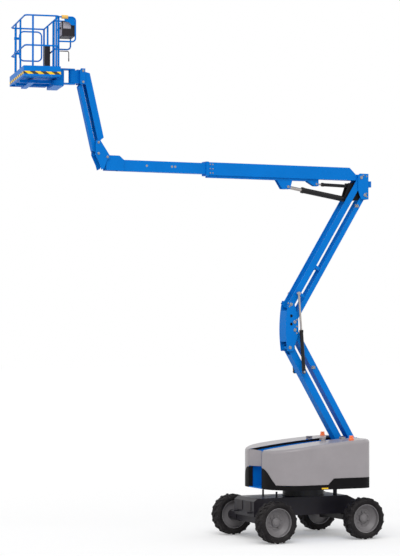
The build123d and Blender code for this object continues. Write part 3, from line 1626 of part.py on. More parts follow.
# Yellow sleeve round the near guard hoop
with BuildPart() as rail_sleeve:
    sleeve_start = platform_point(rail_back - 60, near_hoop_y, hoop_top)
    sleeve_end = platform_point(rail_back - 60 - sleeve_length, near_hoop_y, hoop_top)
    with BuildSketch(Plane(sleeve_start, z_dir=sleeve_end - sleeve_start)):
        Circle(sleeve_radius)
        Circle(hoop_radius + seat_gap, mode=Mode.SUBTRACT)
    extrude(amount=sleeve_length)
rail_sleeve.part.label = "rail_sleeve"
export_step(rail_sleeve.part, "parts/rail_sleeve.step")
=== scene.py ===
import json
import math

import bmesh
import bpy
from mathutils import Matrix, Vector


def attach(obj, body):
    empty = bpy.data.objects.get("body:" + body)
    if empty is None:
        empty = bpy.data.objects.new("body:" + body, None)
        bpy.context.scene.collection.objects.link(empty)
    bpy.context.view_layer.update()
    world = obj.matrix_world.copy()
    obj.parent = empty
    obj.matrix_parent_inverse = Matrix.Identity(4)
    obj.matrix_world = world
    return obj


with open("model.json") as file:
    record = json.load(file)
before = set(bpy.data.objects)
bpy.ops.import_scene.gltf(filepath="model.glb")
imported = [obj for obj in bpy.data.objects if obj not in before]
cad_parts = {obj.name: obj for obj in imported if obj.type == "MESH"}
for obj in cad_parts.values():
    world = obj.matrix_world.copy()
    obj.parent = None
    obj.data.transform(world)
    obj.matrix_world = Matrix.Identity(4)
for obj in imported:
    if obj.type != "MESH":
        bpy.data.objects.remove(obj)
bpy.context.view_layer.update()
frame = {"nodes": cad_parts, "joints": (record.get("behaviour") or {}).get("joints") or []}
nodes = frame["nodes"]
scene = bpy.context.scene


# Camera at the photograph's place, looking slightly up through a long lens
camera_place = Vector((19.4715, 36.0450, 4.4064))
camera_heading = math.radians(25.562)
camera_rise = math.radians(1.3476)
camera_lens = 127.27

camera_data = bpy.data.cameras.new("camera")
camera_data.lens = camera_lens
camera_data.sensor_width = 36.0
camera_data.clip_end = 400.0
camera = bpy.data.objects.new("camera", camera_data)
scene.collection.objects.link(camera)
camera.location = camera_place
gaze = Vector((
    -math.sin(camera_heading) * math.cos(camera_rise),
    -math.cos(camera_heading) * math.cos(camera_rise),
    math.sin(camera_rise),
))
camera.rotation_mode = "QUATERNION"
camera.rotation_quaternion = gaze.to_track_quat("-Z", "Y")
scene.camera = camera
scene.view_settings.view_transform = "Standard"


def shade(red, green, blue):
    """A display colour from 0 to 255 as the linear colour that nodes take."""
    linear = []
    for value in (red, green, blue):
        share = value / 255
        linear.append(share / 12.92 if share <= 0.04045 else ((share + 0.055) / 1.055) ** 2.4)
    return (*linear, 1.0)


def link(tree, source, target):
    """Joins an output to an input, or sets the input where the source is a plain value."""
    if isinstance(source, bpy.types.NodeSocket):
        tree.links.new(source, target)
    else:
        target.default_value = source


def place(tree, kind, **settings):
    """A new node with its plain properties and its unlinked inputs set."""
    node = tree.nodes.new(kind)
    for key, value in settings.items():
        if key in node.inputs:
            node.inputs[key].default_value = value
        else:
            setattr(node, key, value)
    return node


def object_places(tree):
    """The output that gives places in the object's own frame."""
    return place(tree, "ShaderNodeTexCoord").outputs["Object"]


def face_normals(tree):
    """The output that gives the surface's direction."""
    return place(tree, "ShaderNodeNewGeometry").outputs["Normal"]


def split_axes(tree, vector):
    """The X, Y and Z outputs of a vector."""
    node = place(tree, "ShaderNodeSeparateXYZ")
    link(tree, vector, node.inputs["Vector"])
    return node.outputs


def noise(tree, scale, detail, roughness=0.5):
    """The output of a noise texture over the object's places."""
    node = place(tree, "ShaderNodeTexNoise", Detail=detail, Roughness=roughness)
    link(tree, object_places(tree), node.inputs["Vector"])
    link(tree, scale, node.inputs["Scale"])
    return node.outputs["Fac"]


def reckon(tree, operation, *values, clamp=False):
    """The output of a math node on outputs or plain numbers."""
    node = place(tree, "ShaderNodeMath", operation=operation, use_clamp=clamp)
    for value, target in zip(values, node.inputs):
        link(tree, value, target)
    return node.outputs["Value"]


def remap(tree, source, start, end, low=0.0, high=1.0):
    """The output of a value brought from the range start to end into the range low to high."""
    node = place(tree, "ShaderNodeMapRange")
    labels = ("Value", "From Min", "From Max", "To Min", "To Max")
    for label, value in zip(labels, (source, start, end, low, high)):
        link(tree, value, node.inputs[label])
    return node.outputs["Result"]


def blend(tree, factor, first, second):
    """The output of two colours mixed by a factor."""
    node = place(tree, "ShaderNodeMix", data_type="RGBA")
    for label, value in (("Factor", factor), ("A", first), ("B", second)):
        link(tree, value, node.inputs[label])
    return node.outputs["Result"]


def ramp(tree, source, first, second, start=0.0, end=1.0):
    """The output of a colour that runs from one to another as a value rises."""
    node = place(tree, "ShaderNodeValToRGB")
    for element, colour, position in zip(node.color_ramp.elements, (first, second), (start, end)):
        element.position = position
        element.color = colour
    link(tree, source, node.inputs["Fac"])
    return node.outputs["Color"]


def start_group(name, inputs, outputs):
    """A shader node group with named sockets; returns its tree, its entry and its exit."""
    tree = bpy.data.node_groups.new(name, "ShaderNodeTree")
    for label, kind, default in inputs:
        socket = tree.interface.new_socket(label, in_out="INPUT", socket_type=kind)
        socket.default_value = default
    for label, kind in outputs:
        tree.interface.new_socket(label, in_out="OUTPUT", socket_type=kind)
    return tree, tree.nodes.new("NodeGroupInput"), tree.nodes.new("NodeGroupOutput")


def make_paint_grain():
    """Cloudy tone and fine orange peel of sprayed paint or moulded plastic."""
    tree, entry, exit_node = start_group(
        "paint_grain",
        [
            ("Colour", "NodeSocketColor", (0.5, 0.5, 0.5, 1)),
            ("Cloud Size", "NodeSocketFloat", 1.6),
            ("Cloud Depth", "NodeSocketFloat", 0.1),
            ("Peel Size", "NodeSocketFloat", 160.0),
        ],
        [("Colour", "NodeSocketColor"), ("Height", "NodeSocketFloat"), ("Cloud", "NodeSocketFloat")],
    )
    cloud = noise(tree, entry.outputs["Cloud Size"], detail=5.0, roughness=0.6)
    peel = noise(tree, entry.outputs["Peel Size"], detail=2.0)
    low = reckon(tree, "SUBTRACT", 1.0, entry.outputs["Cloud Depth"])
    high = reckon(tree, "ADD", 1.0, entry.outputs["Cloud Depth"])
    tone = remap(tree, cloud, start=0.3, end=0.7, low=low, high=high)
    tinted = place(tree, "ShaderNodeVectorMath", operation="SCALE")
    link(tree, entry.outputs["Colour"], tinted.inputs[0])
    link(tree, tone, tinted.inputs["Scale"])
    link(tree, tinted.outputs["Vector"], exit_node.inputs["Colour"])
    link(tree, peel, exit_node.inputs["Height"])
    link(tree, cloud, exit_node.inputs["Cloud"])
    return tree


def make_edge_wear_and_highlight():
    """Rubbed corners, and on the cowl a painted highlight: a broken line of another colour along the sharp
    edges.
    """
    tree, entry, exit_node = start_group(
        "edge_wear_and_highlight",
        [
            ("Colour", "NodeSocketColor", (0.5, 0.5, 0.5, 1)),
            ("Worn Colour", "NodeSocketColor", (0.7, 0.7, 0.7, 1)),
            ("Amount", "NodeSocketFloat", 0.5),
            ("Width", "NodeSocketFloat", 0.006),
        ],
        # The Worn output is the edge mask: rubbed wear, and on the cowl a painted highlight
        [("Colour", "NodeSocketColor"), ("Worn", "NodeSocketFloat")],
    )
    rounded = place(tree, "ShaderNodeBevel", samples=4)
    link(tree, entry.outputs["Width"], rounded.inputs["Radius"])
    facing = place(tree, "ShaderNodeVectorMath", operation="DOT_PRODUCT")
    link(tree, rounded.outputs["Normal"], facing.inputs[0])
    link(tree, face_normals(tree), facing.inputs[1])
    edge = remap(tree, facing.outputs["Value"], start=0.995, end=0.85)
    patches = noise(tree, 9.0, detail=6.0, roughness=0.7)
    broken = remap(tree, patches, start=0.48, end=0.62)
    masked = reckon(tree, "MULTIPLY", edge, broken)
    edge_tone = reckon(tree, "MULTIPLY", masked, entry.outputs["Amount"], clamp=True)
    mixed = blend(tree, edge_tone, entry.outputs["Colour"], entry.outputs["Worn Colour"])
    link(tree, mixed, exit_node.inputs["Colour"])
    link(tree, edge_tone, exit_node.inputs["Worn"])
    return tree


def make_yard_dust():
    """Pale dust that thins out with height and lies thicker on what faces up."""
    tree, entry, exit_node = start_group(
        "yard_dust",
        [
            ("Colour", "NodeSocketColor", (0.5, 0.5, 0.5, 1)),
            ("Dust Colour", "NodeSocketColor", (0.45, 0.42, 0.38, 1)),
            ("Amount", "NodeSocketFloat", 0.3),
            ("Clean Height", "NodeSocketFloat", 1.2),
        ],
        [("Colour", "NodeSocketColor"), ("Dust", "NodeSocketFloat")],
    )
    height = split_axes(tree, object_places(tree))["Z"]
    tilt = split_axes(tree, face_normals(tree))["Z"]
    low_down = remap(tree, height, start=0.0, end=entry.outputs["Clean Height"], low=1.0, high=0.25)
    upward = remap(tree, tilt, start=0.0, end=1.0, low=0.45)
    speck = noise(tree, 5.0, detail=9.0, roughness=0.72)
    patch = remap(tree, speck, start=0.38, end=0.72)
    lying = reckon(tree, "MULTIPLY", low_down, upward)
    patchy = reckon(tree, "MULTIPLY", lying, patch)
    dust = reckon(tree, "MULTIPLY", patchy, entry.outputs["Amount"], clamp=True)
    mixed = blend(tree, dust, entry.outputs["Colour"], entry.outputs["Dust Colour"])
    link(tree, mixed, exit_node.inputs["Colour"])
    link(tree, dust, exit_node.inputs["Dust"])
    return tree


paint_grain = make_paint_grain()
edge_wear_and_highlight = make_edge_wear_and_highlight()
yard_dust = make_yard_dust()


def use_group(tree, group, **values):
    """A placed node group with its inputs set by their names, spaces as underscores."""
    node = tree.nodes.new("ShaderNodeGroup")
    node.node_tree = group
    for key, value in values.items():
        node.inputs[key.replace("_", " ")].default_value = value
    return node


def start_material(name):
    """A new node material; returns it, its tree and its Principled shader."""
    material = bpy.data.materials.new(name)
    material.use_nodes = True
    tree = material.node_tree
    tree.nodes.clear()
    surface = tree.nodes.new("ShaderNodeBsdfPrincipled")
    out = tree.nodes.new("ShaderNodeOutputMaterial")
    link(tree, surface.outputs["BSDF"], out.inputs["Surface"])
    return material, tree, surface


def spread_roughness(tree, surface, source, low, high):
    """Roughness that follows a varying value between two ends."""
    rough = remap(tree, source, start=0.25, end=0.75, low=low, high=high)
    link(tree, rough, surface.inputs["Roughness"])


def shader_of(material):
    """The Principled shader of a material."""
    return material.node_tree.nodes["Principled BSDF"]


def coated(
    name,
    colour,
    edge_tone,
    shine,
    gloss=0.25,
    peel=160.0,
    cloud=0.06,
    edge_amount=0.5,
    dust=0.25,
    clean_height=1.2,
    edge=0.004,
    rounding=None,
    relief=(0.06, 0.002),
):
    """A coated surface: cloudy tone, a grain in relief, edges in another colour (rubbed wear, and on the
    cowl a painted highlight) and dust.
    """
    material, tree, surface = start_material(name)
    surface.inputs["Specular IOR Level"].default_value = gloss
    grain = use_group(tree, paint_grain, Colour=colour, Cloud_Depth=cloud, Peel_Size=peel)
    # Edges in another colour: rubbed wear, and on the cowl a painted highlight
    edge_tint = use_group(tree, edge_wear_and_highlight, Worn_Colour=edge_tone, Amount=edge_amount, Width=edge)
    dusty = use_group(tree, yard_dust, Amount=dust, Clean_Height=clean_height)
    link(tree, grain.outputs["Colour"], edge_tint.inputs["Colour"])
    link(tree, edge_tint.outputs["Colour"], dusty.inputs["Colour"])
    link(tree, dusty.outputs["Colour"], surface.inputs["Base Color"])
    spread_roughness(tree, surface, grain.outputs["Cloud"], *shine)
    soft_edge = place(tree, "ShaderNodeBevel", samples=4, Radius=rounding or edge)
    bump = place(tree, "ShaderNodeBump", Strength=relief[0], Distance=relief[1])
    link(tree, grain.outputs["Height"], bump.inputs["Height"])
    link(tree, soft_edge.outputs["Normal"], bump.inputs["Normal"])
    link(tree, bump.outputs["Normal"], surface.inputs["Normal"])
    return material


paint_blue = shade(0, 115, 204)
rubbed_blue = shade(60, 140, 200)
blue_shine = (0.36, 0.48)
cowl_colour = shade(148, 143, 146)
black_colour = shade(26, 25, 27)
# Heights above which dust has thinned out, for what is high up and for what is by the wheels
high_up = 3.0
wheel_high = 0.9

boom_blue = coated(
    "boom_blue", paint_blue, rubbed_blue, blue_shine,
    gloss=0.07, edge_amount=0.08, dust=0.02, clean_height=high_up,
)

# The cowl's pale edge colour, 18 mm wide, paints a highlight along its rounded edges
cowl_grey = coated(
    "cowl_grey", cowl_colour, shade(190, 187, 184), (0.3, 0.4),
    gloss=0.35, peel=220.0, edge_amount=0.4, dust=0.04, edge=0.018,
)
shader_of(cowl_grey).inputs["Coat Weight"].default_value = 0.15

skirt_black = coated(
    "skirt_black", shade(19, 18, 20), shade(48, 47, 49), (0.45, 0.6),
    gloss=0.05, peel=420.0, edge_amount=0.2, dust=0.05,
)
chassis_charcoal = coated(
    "chassis_charcoal", shade(34, 32, 38), shade(70, 68, 74), (0.28, 0.42),
    gloss=0.16, edge_amount=0.3, dust=0.06, clean_height=wheel_high,
)
axle_black = coated(
    "axle_black", black_colour, shade(66, 64, 64), (0.36, 0.5),
    gloss=0.2, edge_amount=0.5, dust=0.12, clean_height=wheel_high,
)
rim_grey = coated(
    "rim_grey", shade(112, 109, 111), shade(190, 188, 188), (0.34, 0.48),
    gloss=0.4, edge_amount=0.9, dust=0.1, clean_height=wheel_high, edge=0.01,
)
barrel_black = coated(
    "barrel_black", black_colour, shade(60, 58, 57), (0.26, 0.4),
    gloss=0.2, edge_amount=0.3, dust=0.03, clean_height=high_up,
)
block_grey = coated(
    "block_grey", shade(70, 70, 72), shade(110, 110, 110), (0.5, 0.65),
    edge_amount=0.4, dust=0.3,
)
case_dark = coated(
    "case_dark", shade(46, 43, 46), shade(80, 78, 78), (0.4, 0.55),
    gloss=0.15, peel=420.0, edge_amount=0.3, dust=0.03, clean_height=high_up,
)
sleeve_yellow = coated(
    "sleeve_yellow", shade(236, 188, 96), shade(240, 214, 160), (0.5, 0.65),
    peel=300.0, edge_amount=0.3, dust=0.05, clean_height=high_up,
)


def make_floor_blue():
    """Blue paint over raised tread bars on what faces up."""
    material = coated(
        "floor_blue", paint_blue, shade(90, 150, 196), (0.36, 0.5),
        gloss=0.07, edge_amount=0.15, dust=0.04, clean_height=high_up,
    )
    tree = material.node_tree
    surface = shader_of(material)
    places = object_places(tree)
    heights = []
    for turn in (0.6, 2.17):
        turned = place(tree, "ShaderNodeMapping", Rotation=(0, 0, turn), Scale=(30, 90, 1))
        link(tree, places, turned.inputs["Vector"])
        bars = place(tree, "ShaderNodeTexVoronoi", Scale=1.0, Randomness=0.0)
        link(tree, turned.outputs["Vector"], bars.inputs["Vector"])
        heights.append(remap(tree, bars.outputs["Distance"], start=0.42, end=0.2))
    joined = reckon(tree, "MAXIMUM", *heights)
    upward = reckon(tree, "GREATER_THAN", split_axes(tree, face_normals(tree))["Z"], 0.9)
    masked = reckon(tree, "MULTIPLY", joined, upward)
    tread = place(tree, "ShaderNodeBump", Strength=0.7, Distance=0.003)
    link(tree, masked, tread.inputs["Height"])
    link(tree, surface.inputs["Normal"].links[0].from_socket, tread.inputs["Normal"])
    link(tree, tread.outputs["Normal"], surface.inputs["Normal"])
    return material


def two_tone(name, second_colour, tests):
    """Blue paint with a second colour where two tests on place hold: an axis, a comparison and a limit."""
    material = coated(
        name, paint_blue, rubbed_blue, blue_shine,
        gloss=0.07, edge_amount=0.08, dust=0.02, clean_height=high_up,
    )
    tree = material.node_tree
    surface = shader_of(material)
    axes = split_axes(tree, object_places(tree))
    reach = {"X": axes["X"], "Y": reckon(tree, "ABSOLUTE", axes["Y"]), "Z": axes["Z"]}
    held = [reckon(tree, comparison, reach[axis], limit) for axis, comparison, limit in tests]
    both = reckon(tree, "MULTIPLY", *held)
    mixed = blend(tree, both, surface.inputs["Base Color"].links[0].from_socket, second_colour)
    link(tree, mixed, surface.inputs["Base Color"])
    return material


def make_rod_chrome():
    """Hard chrome on the cylinder rods, faintly mottled."""
    material, tree, surface = start_material("rod_chrome")
    surface.inputs["Metallic"].default_value = 1.0
    mottle = noise(tree, 30.0, detail=3.0)
    tone = ramp(tree, mottle, shade(140, 134, 132), shade(186, 180, 176))
    link(tree, tone, surface.inputs["Base Color"])
    spread_roughness(tree, surface, mottle, 0.16, 0.32)
    return material


def make_beacon_orange():
    """Moulded orange lens with fine slanted ribs, and a faint painted glow of the same colour."""
    material, tree, surface = start_material("beacon_orange")
    ribs = place(
        tree, "ShaderNodeTexWave", Scale=18.0, Distortion=0.4, wave_type="BANDS", bands_direction="DIAGONAL"
    )
    link(tree, object_places(tree), ribs.inputs["Vector"])
    tone = ramp(tree, ribs.outputs["Fac"], shade(222, 84, 24), shade(246, 122, 52))
    link(tree, tone, surface.inputs["Base Color"])
    # Painted glow: the lens gives off a faint light of its own colour
    link(tree, tone, surface.inputs["Emission Color"])
    surface.inputs["Emission Strength"].default_value = 0.12
    surface.inputs["Roughness"].default_value = 0.25
    surface.inputs["Coat Weight"].default_value = 0.3
    return material


rod_chrome = make_rod_chrome()
tyre_rubber = coated(
    "tyre_rubber", shade(26, 24, 26), shade(84, 81, 83), (0.62, 0.8), gloss=0.1, peel=90.0, cloud=0.16,
    edge_amount=1.0, dust=0.1, edge=0.014, rounding=0.01, relief=(0.2, 0.004),
)
beacon_orange = make_beacon_orange()
floor_blue = make_floor_blue()
# Black tongues between the upright's plates, where the cylinders are pinned
upright_paint = two_tone(
    "upright_paint", black_colour, [("Y", "LESS_THAN", 0.0725), ("X", "GREATER_THAN", -1.6)]
)
# Grey hinge tabs at the top of the deck's bulkheads
deck_paint = two_tone(
    "deck_paint", cowl_colour, [("Z", "GREATER_THAN", 2.0), ("X", "GREATER_THAN", -1.0)]
)

finish_of = {
    "tyre": tyre_rubber,
    "rim": rim_grey,
    "chassis_frame": chassis_charcoal,
    "front_axle": chassis_charcoal,
    "rear_axle": axle_black,
    "knuckle": axle_black,
    "steer_cylinder": axle_black,
    "steer_rod": rod_chrome,
    "tie_down_lugs": chassis_charcoal,
    "slew_ring": axle_black,
    "turntable_deck": deck_paint,
    "counterweight": block_grey,
    "battery_box": block_grey,
    "power_pack": block_grey,
    "cover": cowl_grey,
    "skirts": skirt_black,
    "beacon": beacon_orange,
    "upright": upright_paint,
    "riser_barrel": barrel_black,
    "lift_barrel": barrel_black,
    "level_barrel": barrel_black,
    "riser_rod": rod_chrome,
    "lift_rod": rod_chrome,
    "level_rod": rod_chrome,
    "control_box": case_dark,
    "rear_case": case_dark,
    "rail_sleeve": sleeve_yellow,
    "face_plates": case_dark,
    "platform_floor": floor_blue,
}
for name, node in nodes.items():
    finish = boom_blue
    for start, material in finish_of.items():
        if name.startswith(start):
            finish = material
    node.data.materials.clear()
    node.data.materials.append(finish)


# Small pieces that the solids leave to this script
def bridge_rows(form, rows, capped=True):
    """Faces between rows of points that each close on themselves, with caps on both ends."""
    for low, high in zip(rows, rows[1:]):
        for step in range(len(low)):
            after = (step + 1) % len(low)
            form.faces.new((low[step], low[after], high[after], high[step]))
    if capped:
        form.faces.new(list(reversed(rows[0])))
        form.faces.new(rows[-1])


def turned_rows(form, profile, foot, axis, sides):
    """Rings of points in a bmesh, one for each (radius, height) of a profile about an axis."""
    turn = Vector(axis).to_track_quat("Z", "Y")
    rows = []
    for radius, height in profile:
        row = []
        for step in range(sides):
            angle = 2 * math.pi * step / sides
            spot = Vector((radius * math.cos(angle), radius * math.sin(angle), height))
            row.append(form.verts.new(Vector(foot) + turn @ spot))
        rows.append(row)
    return rows


def add_turned(form, profile, foot, axis, sides=20):
    """A turned body in a bmesh, closed at both ends."""
    bridge_rows(form, turned_rows(form, profile, foot, axis, sides))


def add_ring(form, profile, foot, axis, sides=36):
    """A turned ring in a bmesh, its profile closed on itself."""
    rows = turned_rows(form, profile, foot, axis, sides)
    bridge_rows(form, rows + rows[:1], capped=False)


def add_slab(form, middle, across, up, out, size, chamfer):
    """A plate in a bmesh, with chamfered front edges: its middle, its three directions and its size."""
    width, height, depth = size
    across, up, out = Vector(across), Vector(up), Vector(out)
    layers = ((0.0, 0.0), (depth - chamfer, 0.0), (depth, chamfer))
    loops = []
    for rise, draw in layers:
        loop = []
        for side_x, side_z in ((-1, -1), (1, -1), (1, 1), (-1, 1)):
            spot = across * side_x * (width / 2 - draw) + up * side_z * (height / 2 - draw) + out * rise
            loop.append(form.verts.new(Vector(middle) + spot))
        loops.append(loop)
    bridge_rows(form, loops)


def add_bolt(form, foot, axis, size):
    """A washer and a chamfered hexagon head, size across the head's corners."""
    washer = [(size * 0.62, 0), (size * 0.62, size * 0.1), (size * 0.58, size * 0.13)]
    head = [(size * 0.5, 0), (size * 0.5, size * 0.28), (size * 0.42, size * 0.35)]
    add_turned(form, washer, foot, axis, 16)
    add_turned(form, head, Vector(foot) + Vector(axis) * size * 0.13, axis, 6)


def finish_piece(name, form, finish, body):
    """A bmesh made into a named piece with its finish, riding on a body."""
    bmesh.ops.recalc_face_normals(form, faces=form.faces)
    mesh = bpy.data.meshes.new(name)
    form.to_mesh(mesh)
    form.free()
    mesh.materials.append(finish)
    mesh.polygons.foreach_set("use_smooth", [True] * len(mesh.polygons))
    mesh.set_sharp_from_angle(angle=math.radians(32))
    piece = bpy.data.objects.new(name, mesh)
    scene.collection.objects.link(piece)
    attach(piece, body)


def make_pin_steel():
    """Zinc-plated steel of bolts, pin caps and fittings, lightly mottled."""
    material, tree, surface = start_material("pin_steel")
    surface.inputs["Metallic"].default_value = 0.85
    mottle = noise(tree, 60.0, detail=4.0, roughness=0.6)
    tone = ramp(tree, mottle, shade(112, 112, 114), shade(176, 176, 176), start=0.3, end=0.7)
    link(tree, tone, surface.inputs["Base Color"])
    spread_roughness(tree, surface, mottle, 0.3, 0.5)
    return material


pin_steel = make_pin_steel()

# Places of the pins in side view, from the frame's joints
joint_named = {joint["name"]: joint for joint in frame["joints"]}


def pin_of(joint):
    """A joint's place in side view: how far ahead and how high."""
    spot = joint_named[joint]["pos_m"]
    return (spot[0], spot[2])


def link_head(link_foot, arm_foot, arm_head):
    """The head pin of a link, which lies as far from its foot as the arm's head from the arm's foot."""
    return tuple(foot + head - start for foot, start, head in zip(link_foot, arm_foot, arm_head))


lower_arm_foot_pin = pin_of("riser_lift")
lower_arm_head_pin = pin_of("mid_pivot_turn")
lower_link_head_pin = link_head(pin_of("lower_link_turn"), lower_arm_foot_pin, lower_arm_head_pin)
upper_arm_foot_pin = pin_of("upper_arm_turn")
upper_arm_head_pin = pin_of("upright_turn")
upper_link_foot_pin = pin_of("upper_link_turn")
upper_link_head_pin = link_head(upper_link_foot_pin, upper_arm_foot_pin, upper_arm_head_pin)
jib_lower_foot_pin = pin_of("jib_lift")
jib_lower_head_pin = pin_of("jib_head_level")
jib_upper_foot_pin = pin_of("jib_upper_turn")
jib_upper_head_pin = link_head(jib_upper_foot_pin, jib_lower_foot_pin, jib_lower_head_pin)
# Pins of the rods' eyes on the boom, which have no joint of their own
lift_rod_pin = (0.230, 7.261)
level_rod_pin = (-0.445, 7.338)

# Outer faces of the middle pivot plates
mid_plate_y = 0.148

# Wheel nuts round each hub, and a domed cap over the spindle's end
nut_count = 9
nut_circle = 0.128
nut_size = 0.034
disc_face = 0.9595
hub_face = 1.0058
hub_cap = [(0.072, 0), (0.072, 0.005), (0.066, 0.011), (0.05, 0.017), (0.03, 0.021), (0.01, 0.022)]
for end in ("front", "rear"):
    for flank, outward in (("left", 1), ("right", -1)):
        nuts = bmesh.new()
        x, wheel_height = pin_of(f"wheel_{end}_{flank}_spin")
        for step in range(nut_count):
            angle = 2 * math.pi * step / nut_count
            ahead = nut_circle * math.cos(angle)
            rise = nut_circle * math.sin(angle)
            add_bolt(nuts, (x + ahead, outward * disc_face, wheel_height + rise), (0, outward, 0), nut_size)
        add_turned(nuts, hub_cap, (x, outward * hub_face, wheel_height), (0, outward, 0), 32)
        finish_piece(f"wheel_nuts_{end}_{flank}", nuts, rim_grey, f"wheel_{end}_{flank}")


def cap_pins(name, body, reach, radius, places):
    """Keeper caps with a centre bolt on both ends of the pins at side-view places."""
    caps = bmesh.new()
    thick = 0.005
    disc = [(radius, 0), (radius, thick - 0.002), (radius - 0.003, thick)]
    for x, z in places:
        for outward in (1, -1):
            add_turned(caps, disc, (x, outward * reach, z), (0, outward, 0), 24)
            add_bolt(caps, (x, outward * (reach + thick), z), (0, outward, 0), radius * 0.75)
    finish_piece(name, caps, pin_steel, body)


mid_pins = [lower_arm_head_pin, lower_link_head_pin, upper_link_foot_pin, upper_arm_foot_pin]
upright_pins = [upper_arm_head_pin, upper_link_head_pin]
jib_foot_pins = [jib_lower_foot_pin, jib_upper_foot_pin]
jib_head_pins = [jib_lower_head_pin, jib_upper_head_pin]
riser_base_pins = [pin_of("riser_barrel_left_turn")]
cap_pins("mid_pin_caps", "mid_pivot", reach=0.156, radius=0.034, places=mid_pins)
cap_pins("upright_pin_caps", "upright", reach=0.158, radius=0.034, places=upright_pins)
cap_pins("lift_pin_caps", "boom", reach=0.070, radius=0.030, places=[lift_rod_pin])
cap_pins("level_pin_caps", "boom", reach=0.058, radius=0.023, places=[level_rod_pin])
cap_pins("jib_base_pin_caps", "jib_base", reach=0.128, radius=0.025, places=jib_foot_pins)
cap_pins("jib_head_pin_caps", "jib_head", reach=0.128, radius=0.025, places=jib_head_pins)
cap_pins("tip_pin_caps", "boom_extension", reach=0.128, radius=0.025, places=[pin_of("jib_base_level")])
cap_pins("riser_base_pin_caps", "lower_arm", reach=0.234, radius=0.026, places=riser_base_pins)


# Bolts on the boom's collar and on the plates that carry pins
def add_plate_bolts(name, body, reach, size, places):
    """Bolts on both flanks of a body at side-view places."""
    bolts = bmesh.new()
    for x, z in places:
        for outward in (1, -1):
            add_bolt(bolts, (x, outward * reach, z), (0, outward, 0), size)
    finish_piece(name, bolts, pin_steel, body)


collar_places = [(x, z) for x in (1.985, 2.045) for z in (7.485, 7.57, 7.66)]
upright_places = [(-1.60, 7.53), (-1.52, 7.545), (-1.60, 7.10), (-1.60, 7.17)]
mid_places = [(0.275, 4.84), (0.250, 4.775), (0.075, 4.50), (0.075, 4.36), (0.075, 4.22)]
add_plate_bolts("collar_bolts", "boom", reach=0.095, size=0.024, places=collar_places)
add_plate_bolts("upright_bolts", "upright", reach=0.150, size=0.028, places=upright_places)
add_plate_bolts("mid_pivot_bolts", "mid_pivot", reach=mid_plate_y, size=0.030, places=mid_places)

# Rubber plugs in the sight holes of the middle pivot plates
plug_x = 0.205
plug_rim = [(0.012, 0), (0.030, 0), (0.030, 0.004), (0.024, 0.007), (0.012, 0.003)]
plug_centre = [(0.0125, 0), (0.0125, 0.002), (0.011, 0.0025)]
hole_plugs = bmesh.new()
for z in (4.41, 4.58):
    for outward in (1, -1):
        spot = (plug_x, outward * mid_plate_y, z)
        add_ring(hole_plugs, plug_rim, spot, (0, outward, 0), 24)
        add_turned(hole_plugs, plug_centre, spot, (0, outward, 0), 16)
finish_piece("mid_pivot_plugs", hole_plugs, skirt_black, "mid_pivot")

# Flush wear-pad screws in the extension's flanks, level with the tube that slides in the collar
tube_flank = 0.080
screw_height = 7.585
screw_disc = [(0.024, 0), (0.024, 0.0001), (0.0235, 0.0002)]
flush_screws = bmesh.new()
for x in (2.823, 2.895, 3.45):
    for outward in (1, -1):
        add_turned(flush_screws, screw_disc, (x, outward * tube_flank, screw_height), (0, outward, 0), 24)
finish_piece("extension_screws", flush_screws, pin_steel, "boom_extension")


# Gland nuts on the open ends of the cylinder barrels
def add_gland(cylinder, side, barrel_length, barrel_radius, rod_radius):
    """A notched ring round the rod at a barrel's open end."""
    barrel = f"{cylinder}_barrel{side}"
    base = Vector(joint_named[f"{barrel}_turn"]["pos_m"])
    run = Vector(joint_named[f"{cylinder}_rod{side}_slide"]["axis"])
    overlap, length, wall = 0.045, 0.057, 0.006
    lip = overlap + 0.0005
    start = base + run * (barrel_length - overlap)
    ring = bmesh.new()
    wide = barrel_radius + wall
    bore = rod_radius + 0.002
    outside = [(barrel_radius, 0), (wide, 0.004), (wide, 0.05), (wide - wall, length)]
    profile = outside + [(bore, length), (bore, lip), (barrel_radius, lip)]
    add_ring(ring, profile, start, run, 32)
    finish_piece(f"{cylinder}_gland{side}", ring, barrel_black, barrel)


for side in ("_left", "_right"):
    add_gland("riser", side, barrel_length=0.863, barrel_radius=0.038, rod_radius=0.022)
add_gland("lift", "", barrel_length=1.056, barrel_radius=0.058, rod_radius=0.036)
add_gland("level", "", barrel_length=0.625, barrel_radius=0.035, rod_radius=0.018)


# Hose fittings on the flanks of the riser links
def add_fitting_block(name, body, x, z):
    """A clamp block with two elbows on the near flank of a link."""
    flank_y, depth, spacing = 0.100, 0.016, 0.044
    nut = [(0.012, 0), (0.012, 0.004), (0.009, 0.006)]
    stem = [(0.008, -0.012), (0.008, 0.024), (0.011, 0.026), (0.011, 0.038), (0.008, 0.042)]
    block = bmesh.new()
    add_slab(block, (x, flank_y, z), (1, 0, 0), (0, 0, 1), (0, 1, 0), (0.085, 0.055, depth), 0.003)
    for shift in (-spacing / 2, spacing / 2):
        spot = Vector((x + shift, flank_y + depth, z))
        add_turned(block, nut, spot, (0, 1, 0), 6)
        add_turned(block, stem, spot + Vector((0, 0.004, 0)), (0.5, 0, 0.85), 14)
    finish_piece(name, block, pin_steel, body)


add_fitting_block("lower_link_fittings", "lower_link", -0.335, 3.505)
add_fitting_block("upper_link_fittings", "upper_link", -1.385, 6.90)


# Platform directions, the same turn about the rotator as the solids
rotator_x = pin_of("platform_turn")[0]
platform_turn = math.radians(-11.6)
platform_ahead = Vector((math.cos(platform_turn), math.sin(platform_turn), 0))
platform_left = Vector((-math.sin(platform_turn), math.cos(platform_turn), 0))


def on_platform(ahead, left, height):
    """A point in the platform's own directions as a place in the machine."""
    return Vector((rotator_x, 0, height)) + platform_ahead * ahead + platform_left * left


stripe_pitch = 0.21
stripe_lean = -1.5


